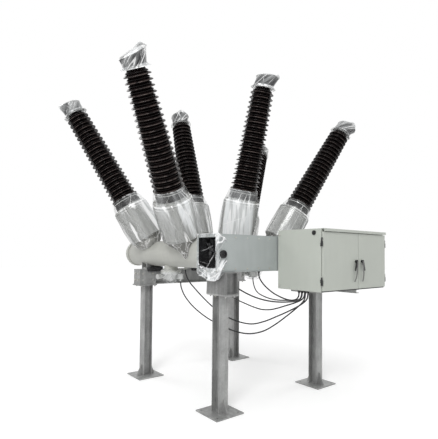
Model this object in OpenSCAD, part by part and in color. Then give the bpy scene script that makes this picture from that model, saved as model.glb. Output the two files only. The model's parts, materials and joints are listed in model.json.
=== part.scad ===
// Three-phase gas insulated circuit breaker of the dead-tank kind: three earthed tanks side by side,
// each with two porcelain bushings in a V, a linkage housing across their near ends, a control cabinet
// in front of it and four steel legs. X runs across the phases, Y along the tanks, Z up from the ground.

/* [Legs] */
// Distance of a leg's middle from the centre line, across the phases
leg_x = 805; // [700:5:950]
// Distance of a leg's middle from the centre line, along the tanks
leg_y = 830; // [700:5:950]
// Height from the ground to the top of a leg's head plate
leg_h = 1262; // [1000:2:1600]
// Depth and flange width of the leg's H section
leg_w = 125; // [90:5:180]
// Thickness of the leg's flanges
leg_flange = 9; // [6:1:16]
// Thickness of the leg's web
leg_web = 7; // [5:1:14]
// Side of a square base plate
base_w = 368; // [300:2:460]
// Thickness of a base plate
base_t = 14; // [8:1:25]
// Distance of a foundation bolt hole from the middle of its base plate
base_hole = 140; // [120:5:145]
// Radius of a foundation bolt hole
base_hole_r = 13; // [8:1:16]
// Height of the ribs at a leg's foot
rib_h = 140; // [80:5:220]
// How far a rib reaches out from its flange
rib_w = 66; // [40:2:72]
// Thickness of the ribs
rib_t = 10; // [6:1:16]
// Thickness of a head plate
head_t = 16; // [10:1:25]

/* [Rear beam] */
// Length of the rear beam
beam_l = 1920; // [1750:10:2200]
// Depth of the rear beam
beam_h = 208; // [140:2:240]
// Width of the rear beam's flanges
beam_w = 180; // [140:5:240]
// Thickness of the rear beam's flanges
beam_flange = 12; // [8:1:20]
// Thickness of the rear beam's web
beam_web = 9; // [6:1:16]
// Length of the stiffened box at each end of the rear beam
beam_box = 250; // [200:10:320]

/* [Front pedestals] */
// Length of a pedestal along the tanks, at its foot
pedestal_l = 350; // [300:10:420]
// Length of a pedestal along the tanks, at its top
pedestal_top = 322; // [280:2:340]
// Width of a pedestal across the phases
pedestal_w = 168; // [130:2:220]
// Thickness of a pedestal's plates
pedestal_t = 12; // [8:1:20]
// Height of a pedestal, from the leg's head plate to the linkage housing
pedestal_h = 238; // [180:2:320]
// Space kept between the right pedestal and the cabinet's back
pedestal_clear = 10; // [5:1:30]

/* [Tanks] */
// Distance between the phases
phase_pitch = 735; // [650:5:850]
// Radius of a tank
tank_r = 170; // [140:5:190]
// Where the bushings' V is centred, along the tanks
tank_mid = 305; // [280:5:340]
// Where the tanks' rear covers begin, along the tanks
tank_rear = 1240; // [1180:10:1320]
// How far a tank's joint flanges stand proud
flange_step = 12; // [6:1:26]
// Thickness of a tank's joint flanges
flange_t = 24; // [14:2:36]
// Depth of a rear cover's dome
dome_h = 165; // [90:5:200]
// Width of a saddle plate
saddle_w = 230; // [180:5:280]
// Thickness of a saddle plate
saddle_t = 14; // [8:1:24]
// Distance between the two plates of a saddle
saddle_gap = 110; // [80:5:140]

/* [Gas ports] */
// Radius of the port's neck
port_neck_r = 88; // [70:2:110]
// Length of the port's neck below the tank
port_neck_h = 71; // [50:1:110]
// Radius of the port's flange
port_flange_r = 130; // [115:1:150]
// Depth of the port's cover
port_cover_h = 89; // [60:1:130]
// Radius of the port's cover
port_cover_r = 104; // [80:2:112]
// Radius of the gas valve's body
valve_r = 19; // [12:1:26]
// How far the gas valve reaches out from the port's middle
valve_reach = 205; // [170:5:240]
// Width of the density monitor's box on the port's cover
monitor_w = 72; // [50:2:90]
// Distance of the monitor's cable gland from the port's middle, across the phases
monitor_x = 90; // [80:1:110]
// Distance of the monitor's cable gland from the port's middle, along the tanks
monitor_y = 95; // [80:1:110]

/* [Bushings] */
// Distance of a bushing's foot from the V's middle
bushing_y = 367; // [340:1:400]
// Lean of a bushing along its tank, in degrees
lean = 15.5; // [10:0.5:22]
// Fan of the outer phases' bushings to the side, in degrees
fan = 28; // [15:1:32]
// Radius of a bushing neck on the tank
neck_r = 122; // [100:2:140]
// Distance from the tank's axis to the current transformer housing
ct_start = 262; // [250:2:300]
// Radius of a current transformer housing
ct_r = 220; // [190:2:240]
// Length of a current transformer housing
ct_l = 466; // [380:2:520]
// Thickness of the housing's end plates
ct_plate = 16; // [10:1:24]
// How far the housing's end plates stand proud of it
ct_rim = 9; // [4:1:16]
// Radius of the collar under the porcelain
collar_r = 160; // [140:2:180]
// Height of the collar under the porcelain
collar_h = 140; // [100:2:180]
// Length of the porcelain
porcelain_l = 1300; // [1000:10:1600]
// Number of large sheds
shed_n = 21; // [12:1:26]
// Radius of the lowest shed
shed_r0 = 186; // [170:1:200]
// Radius of the highest shed
shed_r1 = 143; // [130:1:160]
// How far a large shed stands out from the core
shed_out = 54; // [30:1:62]
// How far a small shed stands out from the core
shed_small = 36; // [16:1:42]
// Thickness of a shed's rim
shed_rim = 7; // [4:1:10]
// Radius of the terminal flange
terminal_r = 122; // [105:1:140]
// Height of the terminal flange
terminal_h = 32; // [20:2:50]
// Height of the terminal's cap
cap_h = 52; // [30:2:80]
// Radius of the terminal stud
stud_r = 25; // [15:1:35]
// Length of the terminal stud
stud_l = 60; // [50:5:120]

/* [Linkage housing] */
// Length of the housing across the phases
housing_l = 1888; // [1750:2:2200]
// Where the housing's front face is, along the tanks
housing_front = -950; // [-1010:5:-900]
// Depth of the housing along the tanks
housing_d = 374; // [340:2:400]
// Height of the housing
housing_h = 400; // [380:5:420]
// Height of the housing's middle above the tanks' axes
housing_rise = 10; // [0:5:20]
// Width of the frame round the housing's open end
end_frame = 30; // [20:1:45]
// Depth of the recess at the open end
recess_d = 150; // [120:5:220]
// How far the front cover plate stands proud
cover_t = 5; // [3:1:10]
// Margin of the front cover plate
cover_margin = 14; // [8:1:30]
// Radius of the operating shaft
shaft_r = 22; // [14:1:30]
// Length of the crank on the operating shaft
crank_l = 120; // [80:5:130]
// Radius of the position window's ring on the housing's front
window_r = 42; // [30:1:60]
// Distance of the position window's middle from the housing's open end
window_x = 63; // [60:1:160]

/* [Cabinet] */
// Width of the cabinet
cabinet_w = 1218; // [1050:2:1400]
// Depth of the cabinet with its doors
cabinet_d = 641; // [560:1:700]
// Height of the cabinet with its roof
cabinet_h = 676; // [560:2:760]
// Where the cabinet's left side is
cabinet_x = -60; // [-90:5:0]
// How far the cabinet's floor is below the linkage housing
cabinet_drop = 203; // [180:1:230]
// Space between the linkage housing and the cabinet
cabinet_gap = 20; // [12:1:40]
// Thickness of the cabinet's sheet
sheet = 4; // [2:0.5:6]
// Width of the flange round the door opening
lip_w = 28; // [20:1:40]
// Height of the roof's edge
roof_h = 30; // [20:1:45]
// How far the roof stands out at the front
roof_out = 14; // [8:1:30]
// Thickness of a door
door_t = 22; // [16:1:30]
// Width of the left door
door_w = 640; // [560:2:680]
// Running gap round the doors
door_gap = 6; // [5:0.5:8]
// Distance of a door's outer edge from the cabinet's side
door_side = 5; // [5:0.5:9]
// Depth of a door's folded rim
door_rim = 18; // [10:1:26]
// Thickness of a door's sheet
door_sheet = 3; // [2:0.5:4]
// Height of the dark sill under the doors
sill_h = 14; // [10:1:24]
// Radius of a hinge barrel
hinge_r = 9; // [7:0.5:12]
// Length of half a hinge barrel
hinge_l = 34; // [22:1:40]
// Radius of a hinge pin
hinge_pin_r = 4; // [2.5:0.5:5]
// Distance of the hinges from the doors' top and bottom
hinge_in = 120; // [90:5:160]
// Radius of a handle's hub
hub_r = 17; // [12:1:22]
// Height of a handle's hub
hub_h = 24; // [16:1:32]
// Radius of a handle's spindle
spindle_r = 7; // [5:0.5:8]
// Thickness of the rose under a handle
rose_t = 4; // [2:0.5:8]
// Length of a handle's lever
lever_l = 104; // [80:2:130]
// Lean of a handle's lever from hanging straight down, in degrees
lever_tilt = 19; // [0:1:30]
// Distance of a handle from the middle of the pair
handle_out = 58; // [36:1:60]
// Height of the handles above the cabinet's floor
handle_z = 324; // [260:2:380]
// Shift of the pair of handles to the right of the doors' split
handle_shift = 0; // [0:1:14]
// Thickness of a hinge's leaf
leaf_t = 2.5; // [1.5:0.5:4]
// Length of a hinge's leaf along the cabinet's side
leaf_l = 26; // [20:1:70]
// Space round a hinge pin or spindle
pin_fit = 0.05; // [0.05:0.05:0.3]
// Space under a turning barrel or hub
bearing_gap = 0.3; // [0.2:0.1:1]
// Radius of the vent plug on the cabinet's left side
plug_r = 25; // [14:1:30]
// Distance of the vent plug from the doors' front
plug_in = 121; // [90:1:300]
// Distance of the vent plug from the cabinet's top
plug_down = 44; // [40:1:120]
// Width of a support arm under the cabinet
arm_w = 60; // [40:2:80]
// Height of a support arm under the cabinet
arm_h = 45; // [30:1:60]
// Thickness of a support arm's folded plate
arm_t = 6; // [4:1:10]
// Distance of the short support arm from the cabinet's left side
arm_short_x = 240; // [120:1:300]
// Reach of the short support arm under the cabinet
arm_short_l = 330; // [200:5:420]
// Distance of the long support arm from the cabinet's left side
arm_long_x = 664; // [500:1:690]
// How far the long support arm ends behind the doors' front
arm_long_in = 44; // [30:1:120]

/* [Cables] */
// Diameter of a control cable
cable_d = 16; // [12:1:20]
// Radius of a cable gland
gland_r = 17; // [14:1:22]
// Length of a cable gland
gland_l = 30; // [20:1:40]
// Distance of the left row of cabinet glands from the cabinet's left side
gland_row_x = 35; // [25:1:60]
// Distance between the two rows of cabinet glands
gland_row_w = 45; // [44:1:70]
// Distance of the last cabinet gland from the cabinet's back
gland_back = 285; // [200:5:330]
// Distance between the cabinet glands of a row
gland_pitch = 45; // [44:1:70]
// Distance of the left tank's cable boss from that tank's axis
boss_x = 110; // [60:5:120]
// Distance of the left tank's cable boss from the V's middle
boss_y = 175; // [120:5:260]
// How far the cable boss ends below the tank
boss_drop = 5; // [0:1:20]
// Distance of the left gland under the housing from the centre line
gland_left_x = 655; // [560:5:680]
// Distance of the left gland under the housing from its front face
gland_left_y = 160; // [60:5:300]
// Distance of the middle gland under the housing from the centre line
gland_middle_x = 130; // [80:5:300]
// Distance of the middle gland under the housing from its front face
gland_middle_y = 230; // [60:5:300]

/* [Hidden] */
$fn = 64;

galvanised = [0.66, 0.67, 0.67];
tank_paint = [0.76, 0.76, 0.73];
silver = [0.72, 0.74, 0.73];
glaze = [0.12, 0.07, 0.06];
housing_paint = [0.64, 0.66, 0.66];
cabinet_paint = [0.74, 0.76, 0.73];
black = [0.05, 0.05, 0.05];

// places worked out from the sizes above
beam_top = leg_h + beam_h;
housing_bottom = leg_h + pedestal_h;
tank_z = housing_bottom + housing_h / 2 - housing_rise;
housing_rear = housing_front + housing_d;
cabinet_back = housing_front - cabinet_gap;
cabinet_front = cabinet_back - cabinet_d;
shell_front = cabinet_front + door_t + door_gap;
cabinet_right = cabinet_x + cabinet_w;
cabinet_z = housing_bottom - cabinet_drop;
cabinet_top = cabinet_z + cabinet_h;
door_bottom = cabinet_z + sill_h;
door_top = cabinet_top - roof_h - door_gap;
door_split = cabinet_x + door_w;
hinge_y = shell_front - door_gap - hinge_r;
hinge_out = hinge_r + 1;
porcelain_start = ct_start + ct_l + collar_h;
terminal_start = porcelain_start + porcelain_l;
monitor_reach = norm([monitor_x, monitor_y]);

// ---------------------------------------------------------------- frame
module h_section(depth, width, flange, web) {
    for (side = [-1, 1])
        translate([side * (depth - flange) / 2, 0]) square([flange, width], center = true);
    square([depth - flange, web], center = true);
}

module rib(height, reach, thickness) {
    rotate([90, 0, 0])
        linear_extrude(thickness, center = true)
            polygon([[0, 0], [reach, 0], [reach, height * 0.12], [reach * 0.18, height], [0, height]]);
}

// one leg with its base plate, foot ribs and head plate; turn is the way its flanges face
module leg(px, py, turn, head_l, head_w, head_dx) {
    color(galvanised)
        translate([px, py, 0]) {
            difference() {
                translate([-base_w / 2, -base_w / 2, 0]) cube([base_w, base_w, base_t]);
                for (sx = [-1, 1], sy = [-1, 1])
                    translate([sx * base_hole, sy * base_hole, -1]) cylinder(r = base_hole_r, h = base_t + 2);
            }
            translate([0, 0, base_t])
                rotate(turn) {
                    linear_extrude(leg_h - base_t - head_t)
                        h_section(leg_w, leg_w, leg_flange, leg_web);
                    for (side = [0, 180])
                        rotate(side) translate([leg_w / 2, 0, 0]) rib(rib_h, rib_w, rib_t);
                }
            translate([head_dx - head_l / 2, -head_w / 2, leg_h - head_t]) cube([head_l, head_w, head_t]);
        }
}

module front_leg(side) {
    leg(side * leg_x, -leg_y, 90, pedestal_w, pedestal_l, -side * (pedestal_w - leg_w) / 2);
}

module rear_leg(side) {
    leg(side * leg_x, leg_y, 0, beam_box + 20, beam_w + 30, side * (beam_l / 2 - leg_x - beam_box / 2));
}

// H beam under the tanks' rear, boxed in where it stands on the legs
module rear_beam() {
    color(galvanised)
        translate([0, leg_y, leg_h]) {
            for (z = [0, beam_h - beam_flange])
                translate([-beam_l / 2, -beam_w / 2, z]) cube([beam_l, beam_w, beam_flange]);
            translate([-beam_l / 2, -beam_web / 2, 0]) cube([beam_l, beam_web, beam_h]);
            for (side = [-1, 1]) {
                for (face = [-1, 1])
                    translate([side * (beam_l - beam_box) / 2, face * (beam_w / 2 - beam_web), beam_h / 2])
                        cube([beam_box, beam_web, beam_h - beam_flange], center = true);
                for (end = [beam_l / 2 - beam_web / 2, beam_l / 2 - beam_box + beam_web / 2])
                    translate([side * end, 0, beam_h / 2])
                        cube([beam_web, beam_w - beam_web, beam_h - beam_flange], center = true);
            }
        }
}

// how far a pedestal reaches forward of its leg; the right one stops short of the cabinet's back
function pedestal_reach(side, reach) =
    side < 0 ? reach : min(reach, -leg_y - cabinet_back - pedestal_clear);

// plate-built stand between a front leg and the linkage housing
module pedestal(side) {
    foot = pedestal_reach(side, pedestal_l / 2);
    top = pedestal_reach(side, pedestal_top / 2);
    color(galvanised)
        translate([side * (leg_x + leg_w / 2), -leg_y, leg_h])
            mirror([side > 0 ? 1 : 0, 0, 0]) {
                translate([0, -foot, 0]) cube([pedestal_w, foot + pedestal_l / 2, pedestal_t]);
                translate([0, -top, pedestal_h - pedestal_t])
                    cube([pedestal_w, top + pedestal_top / 2, pedestal_t]);
                for (x = [0, pedestal_w - pedestal_t])
                    translate([x, 0, 0]) rotate([90, 0, 90])
                        linear_extrude(pedestal_t)
                            polygon([[-foot, 0], [pedestal_l / 2, 0], [pedestal_top / 2, pedestal_h],
                                     [-top, pedestal_h]]);
                for (y = [-1, 1])
                    translate([0, y * pedestal_top * 0.36 - pedestal_t / 2, 0])
                        cube([pedestal_w, pedestal_t, pedestal_h]);
            }
}

// pairs of cradle plates that carry the tanks on the rear beam
module tank_saddles() {
    lift = tank_z - tank_r - beam_top;
    color(galvanised)
        for (i = [-1, 0, 1])
            translate([i * phase_pitch, leg_y, beam_top]) {
                translate([-saddle_w / 2, -saddle_gap / 2 - saddle_t, 0])
                    cube([saddle_w, saddle_gap + 2 * saddle_t, saddle_t]);
                difference() {
                    for (side = [-1, 1])
                        translate([-saddle_w / 2, side * (saddle_gap + saddle_t) / 2 - saddle_t / 2, 0])
                            cube([saddle_w, saddle_t, lift + tank_r * 0.34]);
                    translate([0, 0, lift + tank_r]) rotate([90, 0, 0])
                        cylinder(r = tank_r, h = 2 * saddle_gap + 4 * saddle_t, center = true);
                }
            }
}

// ---------------------------------------------------------------- tanks
// puts its children on a bushing's axis, with Z along it from the tank's axis
module on_bushing(i, end) {
    sx = tan(fan) * i;
    sy = tan(lean) * end;
    translate([i * phase_pitch, tank_mid + end * bushing_y, tank_z])
        rotate([0, atan(norm([sx, sy])), atan2(sy, sx)]) children();
}

module along_y(y0, y1, r) {
    translate([0, y1, 0]) rotate([90, 0, 0]) cylinder(r = r, h = y1 - y0);
}

// welded shell with a neck and neck flange for each bushing and a joint flange at each end
module tank(i) {
    color(tank_paint) {
        translate([i * phase_pitch, 0, tank_z]) {
            along_y(housing_rear, tank_rear, tank_r);
            along_y(housing_rear, housing_rear + flange_t, tank_r + 2 * flange_step);
            along_y(tank_rear - flange_t, tank_rear, tank_r + flange_step);
        }
        for (end = [-1, 1]) on_bushing(i, end) {
            cylinder(r = neck_r, h = ct_start);
            translate([0, 0, ct_start - flange_t]) cylinder(r = neck_r + 34, h = flange_t);
        }
        translate([i * phase_pitch, tank_mid, tank_z - tank_r - port_neck_h]) {
            cylinder(r = port_neck_r, h = port_neck_h + tank_r / 2);
            cylinder(r = port_flange_r, h = flange_t);
        }
        if (i < 0) translate(from_left_tank) {
            translate([0, 0, gland_l]) cylinder(r = gland_r * 1.5, h = tank_r / 2);
            translate([0, 0, gland_l]) gland_below();
        }
    }
}

// domed cover with its joint flange at a tank's rear end
module end_cover(i) {
    color(tank_paint)
        translate([i * phase_pitch, tank_rear, tank_z]) {
            along_y(0, flange_t, tank_r + flange_step);
            rotate([-90, 0, 0]) rotate_extrude()
                intersection() {
                    translate([0, flange_t]) scale([tank_r / dome_h, 1]) circle(dome_h);
                    square([tank_r, flange_t + dome_h]);
                }
        }
}

// cover under a tank with its filling valve and a gland for the monitor cable
module gas_port(i) {
    top = tank_z - tank_r - port_neck_h;
    color(silver)
        translate([i * phase_pitch, tank_mid, top]) {
            translate([0, 0, -flange_t]) cylinder(r = port_flange_r, h = flange_t);
            translate([0, 0, -port_cover_h]) cylinder(r = port_cover_r, h = port_cover_h);
            translate([0, 0, -port_cover_h - 22]) cylinder(r = port_cover_r * 0.62, h = 30);
            translate([0, 0, -port_cover_h * 0.62]) rotate([0, -90, 0]) {
                cylinder(r = valve_r, h = valve_reach);
                translate([0, 0, valve_reach - 58]) cylinder(r = valve_r * 1.5, h = 20);
                translate([0, 0, valve_reach - 26]) cylinder(r = valve_r * 1.8, h = 26);
            }
            rotate(atan2(-monitor_y, (i > 0 ? -1 : 1) * monitor_x)) {
                translate([port_cover_r * 0.8, -monitor_w / 2, -port_cover_h])
                    cube([monitor_reach + monitor_w / 2 - port_cover_r * 0.8, monitor_w, port_cover_h - flange_t]);
                translate([monitor_reach, 0, -port_cover_h]) gland_below();
            }
        }
}

// ---------------------------------------------------------------- bushings
// cylinder of the current transformers with its end plates and the porcelain's metal collar
module ct_housing(i, end) {
    color(silver)
        on_bushing(i, end) {
            translate([0, 0, ct_start]) cylinder(r = ct_r, h = ct_l);
            for (z = [ct_start, ct_start + ct_l - ct_plate])
                translate([0, 0, z]) cylinder(r = ct_r + ct_rim, h = ct_plate);
            translate([0, 0, ct_start + ct_l]) cylinder(r = collar_r, h = collar_h);
            for (z = [ct_start + ct_l, porcelain_start - 0.22 * collar_h])
                translate([0, 0, z]) cylinder(r = collar_r + 16, h = 0.22 * collar_h);
        }
}

function shed_tip(t) = shed_r0 + (shed_r1 - shed_r0) * t;

// outline of one shed: flat underside, thick rim and a sloping top
function shed_outline(z, core, out, pitch) = [
    [core, z], [core + out * 0.3, z + pitch * 0.03], [core + out, z - pitch * 0.06],
    [core + out, z - pitch * 0.06 + shed_rim * 0.8], [core + out - shed_rim * 0.6, z - pitch * 0.06 + shed_rim * 1.5],
    [core + out * 0.25, z + pitch * 0.26], [core, z + pitch * 0.34],
];

function porcelain_outline() =
    let (pitch = porcelain_l / (shed_n + 0.35))
    [for (k = [0:shed_n - 1])
        let (z = (k + 0.22) * pitch, core = shed_tip(z / porcelain_l) - shed_out)
        for (p = concat(shed_outline(z, core, shed_out, pitch),
                        shed_outline(z + pitch / 2, core - 0.5, shed_small, pitch))) p];

// tapered core with large and small sheds in turn
module porcelain(i, end) {
    color(glaze)
        on_bushing(i, end)
            translate([0, 0, porcelain_start])
                rotate_extrude()
                    polygon(concat([[0, 0], [shed_r0 - shed_out, 0]], porcelain_outline(),
                                   [[shed_r1 - shed_out, porcelain_l], [0, porcelain_l]]));
}

// flange, cap and stud that the line is clamped to
module terminal(i, end) {
    color(silver)
        on_bushing(i, end)
            translate([0, 0, terminal_start]) {
                cylinder(r = terminal_r, h = terminal_h);
                translate([0, 0, terminal_h]) cylinder(r1 = terminal_r * 0.82, r2 = terminal_r * 0.52, h = cap_h);
                translate([0, 0, terminal_h + cap_h]) cylinder(r = stud_r, h = stud_l);
            }
}

// ---------------------------------------------------------------- linkage housing
// box girder across the tanks' near ends, with an open left end
module linkage_housing() {
    color(housing_paint)
        translate([-housing_l / 2, housing_front, housing_bottom]) {
            difference() {
                cube([housing_l, housing_d, housing_h]);
                translate([-1, end_frame, end_frame])
                    cube([recess_d + 1, housing_d - 2 * end_frame, housing_h - 2 * end_frame]);
            }
            translate([cover_margin * 3, -cover_t, cover_margin])
                cube([housing_l - 6 * cover_margin, cover_t, housing_h - 2 * cover_margin]);
            translate([cover_margin * 3, cover_margin, housing_h])
                cube([housing_l - 6 * cover_margin, housing_d - 2 * cover_margin, cover_t]);
        }
}

// end of the operating shaft with its crank, in the open end of the housing
module linkage_crank() {
    color(black)
        translate([recess_d - housing_l / 2, housing_front + housing_d / 2, tank_z + housing_rise])
            rotate([0, -90, 0]) {
                cylinder(r = shaft_r * 2, h = 14);
                cylinder(r = shaft_r, h = recess_d * 0.72);
                translate([0, 0, recess_d * 0.36]) rotate(38) {
                    hull() {
                        cylinder(r = shaft_r * 1.6, h = 18);
                        translate([crank_l, 0, 0]) cylinder(r = shaft_r * 0.9, h = 18);
                    }
                    translate([crank_l, 0, -12]) cylinder(r = shaft_r * 0.5, h = 42);
                }
            }
}

// round window with the open and closed indicator behind it
module position_window() {
    color(black)
        translate([window_x - housing_l / 2, housing_front - cover_t, tank_z])
            rotate([90, 0, 0]) {
                difference() {
                    cylinder(r = window_r, h = 22);
                    translate([0, 0, 12]) cylinder(r = window_r * 0.66, h = 20);
                }
                translate([0, 0, 12]) cylinder(r = window_r * 0.2, h = 8);
            }
}

// ---------------------------------------------------------------- cabinet
// folded sheet body, open at the front with a flange round the opening
module cabinet_shell() {
    inner = [cabinet_w - 2 * sheet, cabinet_back - shell_front - 2 * sheet, cabinet_h - 2 * sheet];
    color(cabinet_paint)
        difference() {
            translate([cabinet_x, shell_front, cabinet_z])
                cube([cabinet_w, cabinet_back - shell_front, cabinet_h - sheet]);
            translate([cabinet_x + sheet, shell_front + sheet, cabinet_z + sheet])
                cube([inner[0], inner[1], inner[2]]);
            translate([cabinet_x + lip_w, shell_front - 1, cabinet_z + lip_w])
                cube([cabinet_w - 2 * lip_w, sheet + 2, cabinet_h - roof_h - lip_w - lip_w / 2]);
        }
}

// flat roof with a turned-down edge over the doors
module cabinet_roof() {
    color(cabinet_paint)
        translate([cabinet_x, cabinet_front - roof_out, cabinet_top - sheet]) {
            cube([cabinet_w, cabinet_back - cabinet_front + roof_out, sheet]);
            translate([0, 0, sheet - roof_h]) cube([cabinet_w, sheet, roof_h]);
        }
}

// puts its children at a side's hinges, with X pointing to the door
module at_hinges(side) {
    for (z = [door_bottom + hinge_in, door_top - hinge_in])
        translate([side < 0 ? cabinet_x - hinge_out : cabinet_right + hinge_out, hinge_y, z])
            mirror([side < 0 ? 0 : 1, 0, 0]) children();
}

// fixed half barrels with their pins and the leaves on the cabinet's sides
module cabinet_hinges() {
    color(black)
        for (side = [-1, 1]) at_hinges(side) {
            translate([0, 0, -hinge_l]) cylinder(r = hinge_r, h = hinge_l);
            cylinder(r = hinge_pin_r, h = hinge_l * 0.9);
            translate([hinge_out - leaf_t, 0, -hinge_l]) cube([leaf_t, leaf_l, hinge_l]);
            translate([0, 0, -hinge_l]) cube([hinge_out, leaf_t, hinge_l]);
        }
}

module vent_plug() {
    color(black)
        translate([cabinet_x, cabinet_front + plug_in, cabinet_top - plug_down])
            rotate([0, -90, 0]) {
                cylinder(r = plug_r, h = 7);
                cylinder(r = plug_r * 0.6, h = 12);
            }
}

// brackets bolted to the linkage housing that carry the cabinet from below
module cabinet_arms() {
    color(galvanised)
        for (arm = [[arm_short_x, arm_short_l], [arm_long_x, cabinet_d - arm_long_in]])
            translate([cabinet_x + arm[0], cabinet_back - arm[1], cabinet_z - arm_h]) {
                difference() {
                    cube([arm_w, arm[1] + cabinet_gap - cover_t, arm_h]);
                    translate([arm_t, -1, arm_t]) cube([arm_w, arm[1] + 1, arm_h - 2 * arm_t]);
                }
                translate([0, arm[1], 0])
                    cube([arm_w, cabinet_gap - cover_t, cabinet_drop + housing_h * 0.8 + arm_h]);
            }
}

// ---------------------------------------------------------------- doors
function door_left(side) = side < 0 ? cabinet_x + door_side : door_split + door_gap / 2;
function door_right(side) = side < 0 ? door_split - door_gap / 2 : cabinet_right - door_side;
function handle_x(side) = door_split + side * handle_out + handle_shift;

// folded pan with its hinge barrels and the rose of its handle
module door(side) {
    w = door_right(side) - door_left(side);
    h = door_top - door_bottom;
    color(cabinet_paint)
        difference() {
            union() {
                translate([door_left(side), cabinet_front, door_bottom]) cube([w, door_t, h]);
                at_hinges(side) translate([0, 0, bearing_gap]) {
                    cylinder(r = hinge_r, h = hinge_l);
                    translate([0, -hinge_r, 0]) cube([hinge_out + door_side + leaf_t, leaf_t, hinge_l]);
                }
                translate([handle_x(side), cabinet_front, cabinet_z + handle_z]) rotate([90, 0, 0])
                    cylinder(r = hub_r + 5, h = rose_t);
            }
            translate([door_left(side) + door_rim, cabinet_front + door_sheet, door_bottom + door_rim])
                cube([w - 2 * door_rim, door_t, h - 2 * door_rim]);
            at_hinges(side) cylinder(r = hinge_pin_r + pin_fit, h = hinge_l + 2 * bearing_gap);
            translate([handle_x(side), cabinet_front - rose_t - 1, cabinet_z + handle_z]) rotate([-90, 0, 0])
                cylinder(r = spindle_r + pin_fit, h = rose_t + door_sheet + 2);
        }
}

// swing handle: hub, drooping lever and the spindle through the door
module handle(side) {
    color(black)
        translate([handle_x(side), cabinet_front - rose_t - bearing_gap, cabinet_z + handle_z])
            rotate([90, 0, 0]) {
                cylinder(r = hub_r, h = hub_h);
                translate([0, 0, -rose_t - door_sheet - 3]) cylinder(r = spindle_r, h = rose_t + door_sheet + 4);
                rotate(-90 + side * lever_tilt) hull() {
                    translate([0, 0, hub_h / 2]) cylinder(r = hub_r * 0.72, h = hub_h * 0.6, $fn = 32);
                    translate([lever_l, 0, hub_h * 0.66]) cylinder(r = hub_r * 0.5, h = hub_h * 0.38, $fn = 32);
                }
            }
}

// ---------------------------------------------------------------- cables
// where the cables leave: under a port's monitor, the left tank's boss and the linkage housing
function from_port(i) = [
    i * phase_pitch + (i > 0 ? -1 : 1) * monitor_x, tank_mid - monitor_y,
    tank_z - tank_r - port_neck_h - port_cover_h - gland_l,
];
function from_housing(x, y) = [-x, housing_front + y, housing_bottom - gland_l];
from_left_tank = [boss_x - phase_pitch, tank_mid - boss_y, tank_z - tank_r - boss_drop - gland_l];

// where they end: two rows of glands in the cabinet's floor
function to_cabinet(row, k) = [
    cabinet_x + gland_row_x + row * gland_row_w, cabinet_back - gland_back - k * gland_pitch,
    cabinet_z - gland_l,
];

// points of a hanging cable: its shape, given from its start, drawn out evenly to reach its end
function route(start, end, shape) = [
    for (k = [0:len(shape) - 1]) start + shape[k] + (end - start - last(shape)) * k / (len(shape) - 1)
];
ROUTE_LEFT_PORT = route(from_port(-1), to_cabinet(0, 2), [
    [0, 0, 0], [0, -10, -65], [20, -55, -170], [60, -155, -285], [115, -285, -385], [170, -425, -460],
    [235, -585, -520], [305, -755, -568], [375, -925, -575], [440, -1090, -525], [495, -1220, -438],
    [545, -1342, -335], [590, -1460, -228], [612, -1527, -158], [618, -1547, -121], [620, -1555, -63],
]);
ROUTE_LEFT_TANK = route(from_left_tank, to_cabinet(1, 2), [
    [0, 0, 0], [3, -12, -65], [25, -55, -155], [65, -140, -250], [115, -255, -360], [170, -385, -465],
    [235, -535, -555], [305, -690, -610], [380, -855, -625], [445, -1005, -580], [505, -1135, -515],
    [560, -1260, -448], [604, -1370, -382], [629, -1435, -333], [641, -1464, -295], [645, -1475, -233],
]);
ROUTE_MIDDLE_PORT = route(from_port(0), to_cabinet(1, 1), [
    [0, 0, 0], [0, -12, -60], [-4, -70, -150], [-10, -180, -220], [-16, -320, -262], [-23, -480, -292],
    [-30, -640, -318], [-38, -800, -330], [-45, -950, -315], [-52, -1080, -282], [-62, -1195, -245],
    [-74, -1305, -210], [-82, -1400, -177], [-80, -1464, -146], [-74, -1497, -115], [-70, -1510, -63],
]);
ROUTE_HOUSING_LEFT = route(from_housing(gland_left_x, gland_left_y), to_cabinet(0, 1), [
    [0, 0, 0], [2, -6, -45], [20, -18, -95], [60, -46, -142], [115, -86, -185], [175, -130, -224],
    [240, -178, -258], [310, -230, -284], [380, -282, -300], [450, -335, -307], [520, -395, -305],
    [583, -458, -293], [610, -489, -274], [626, -506, -242], [630, -510, -203],
]);
ROUTE_RIGHT_PORT = route(from_port(1), to_cabinet(1, 0), [
    [0, 0, 0], [0, -7, -50], [-15, -45, -115], [-55, -125, -168], [-115, -245, -200],
    [-185, -390, -215], [-260, -545, -222], [-335, -700, -222], [-405, -850, -216], [-470, -995, -204],
    [-525, -1115, -190], [-563, -1220, -178], [-591, -1315, -167], [-610, -1400, -152],
    [-619, -1438, -133], [-624, -1460, -100], [-625, -1465, -63],
]);
ROUTE_HOUSING_MIDDLE = route(from_housing(gland_middle_x, gland_middle_y), to_cabinet(0, 0), [
    [0, 0, 0], [1, -6, -52], [9, -44, -112], [22, -112, -173], [38, -191, -224], [50, -255, -253],
    [63, -319, -275], [74, -378, -289], [84, -427, -294], [92, -468, -290], [100, -507, -273],
    [104, -530, -240], [105, -535, -203],
]);
ROUTES = [
    ROUTE_LEFT_PORT, ROUTE_LEFT_TANK, ROUTE_MIDDLE_PORT,
    ROUTE_HOUSING_LEFT, ROUTE_RIGHT_PORT, ROUTE_HOUSING_MIDDLE,
];
CABLE_SIDES = 8;

function unit(v) = v / norm(v);
function last(list) = list[len(list) - 1];
// direction of a route at one of its points; it leaves and arrives straight down or up
function heading(route, k) =
    k == 0 ? [0, 0, -1] : k == len(route) - 1 ? [0, 0, 1] : unit(route[k + 1] - route[k - 1]);

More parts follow.
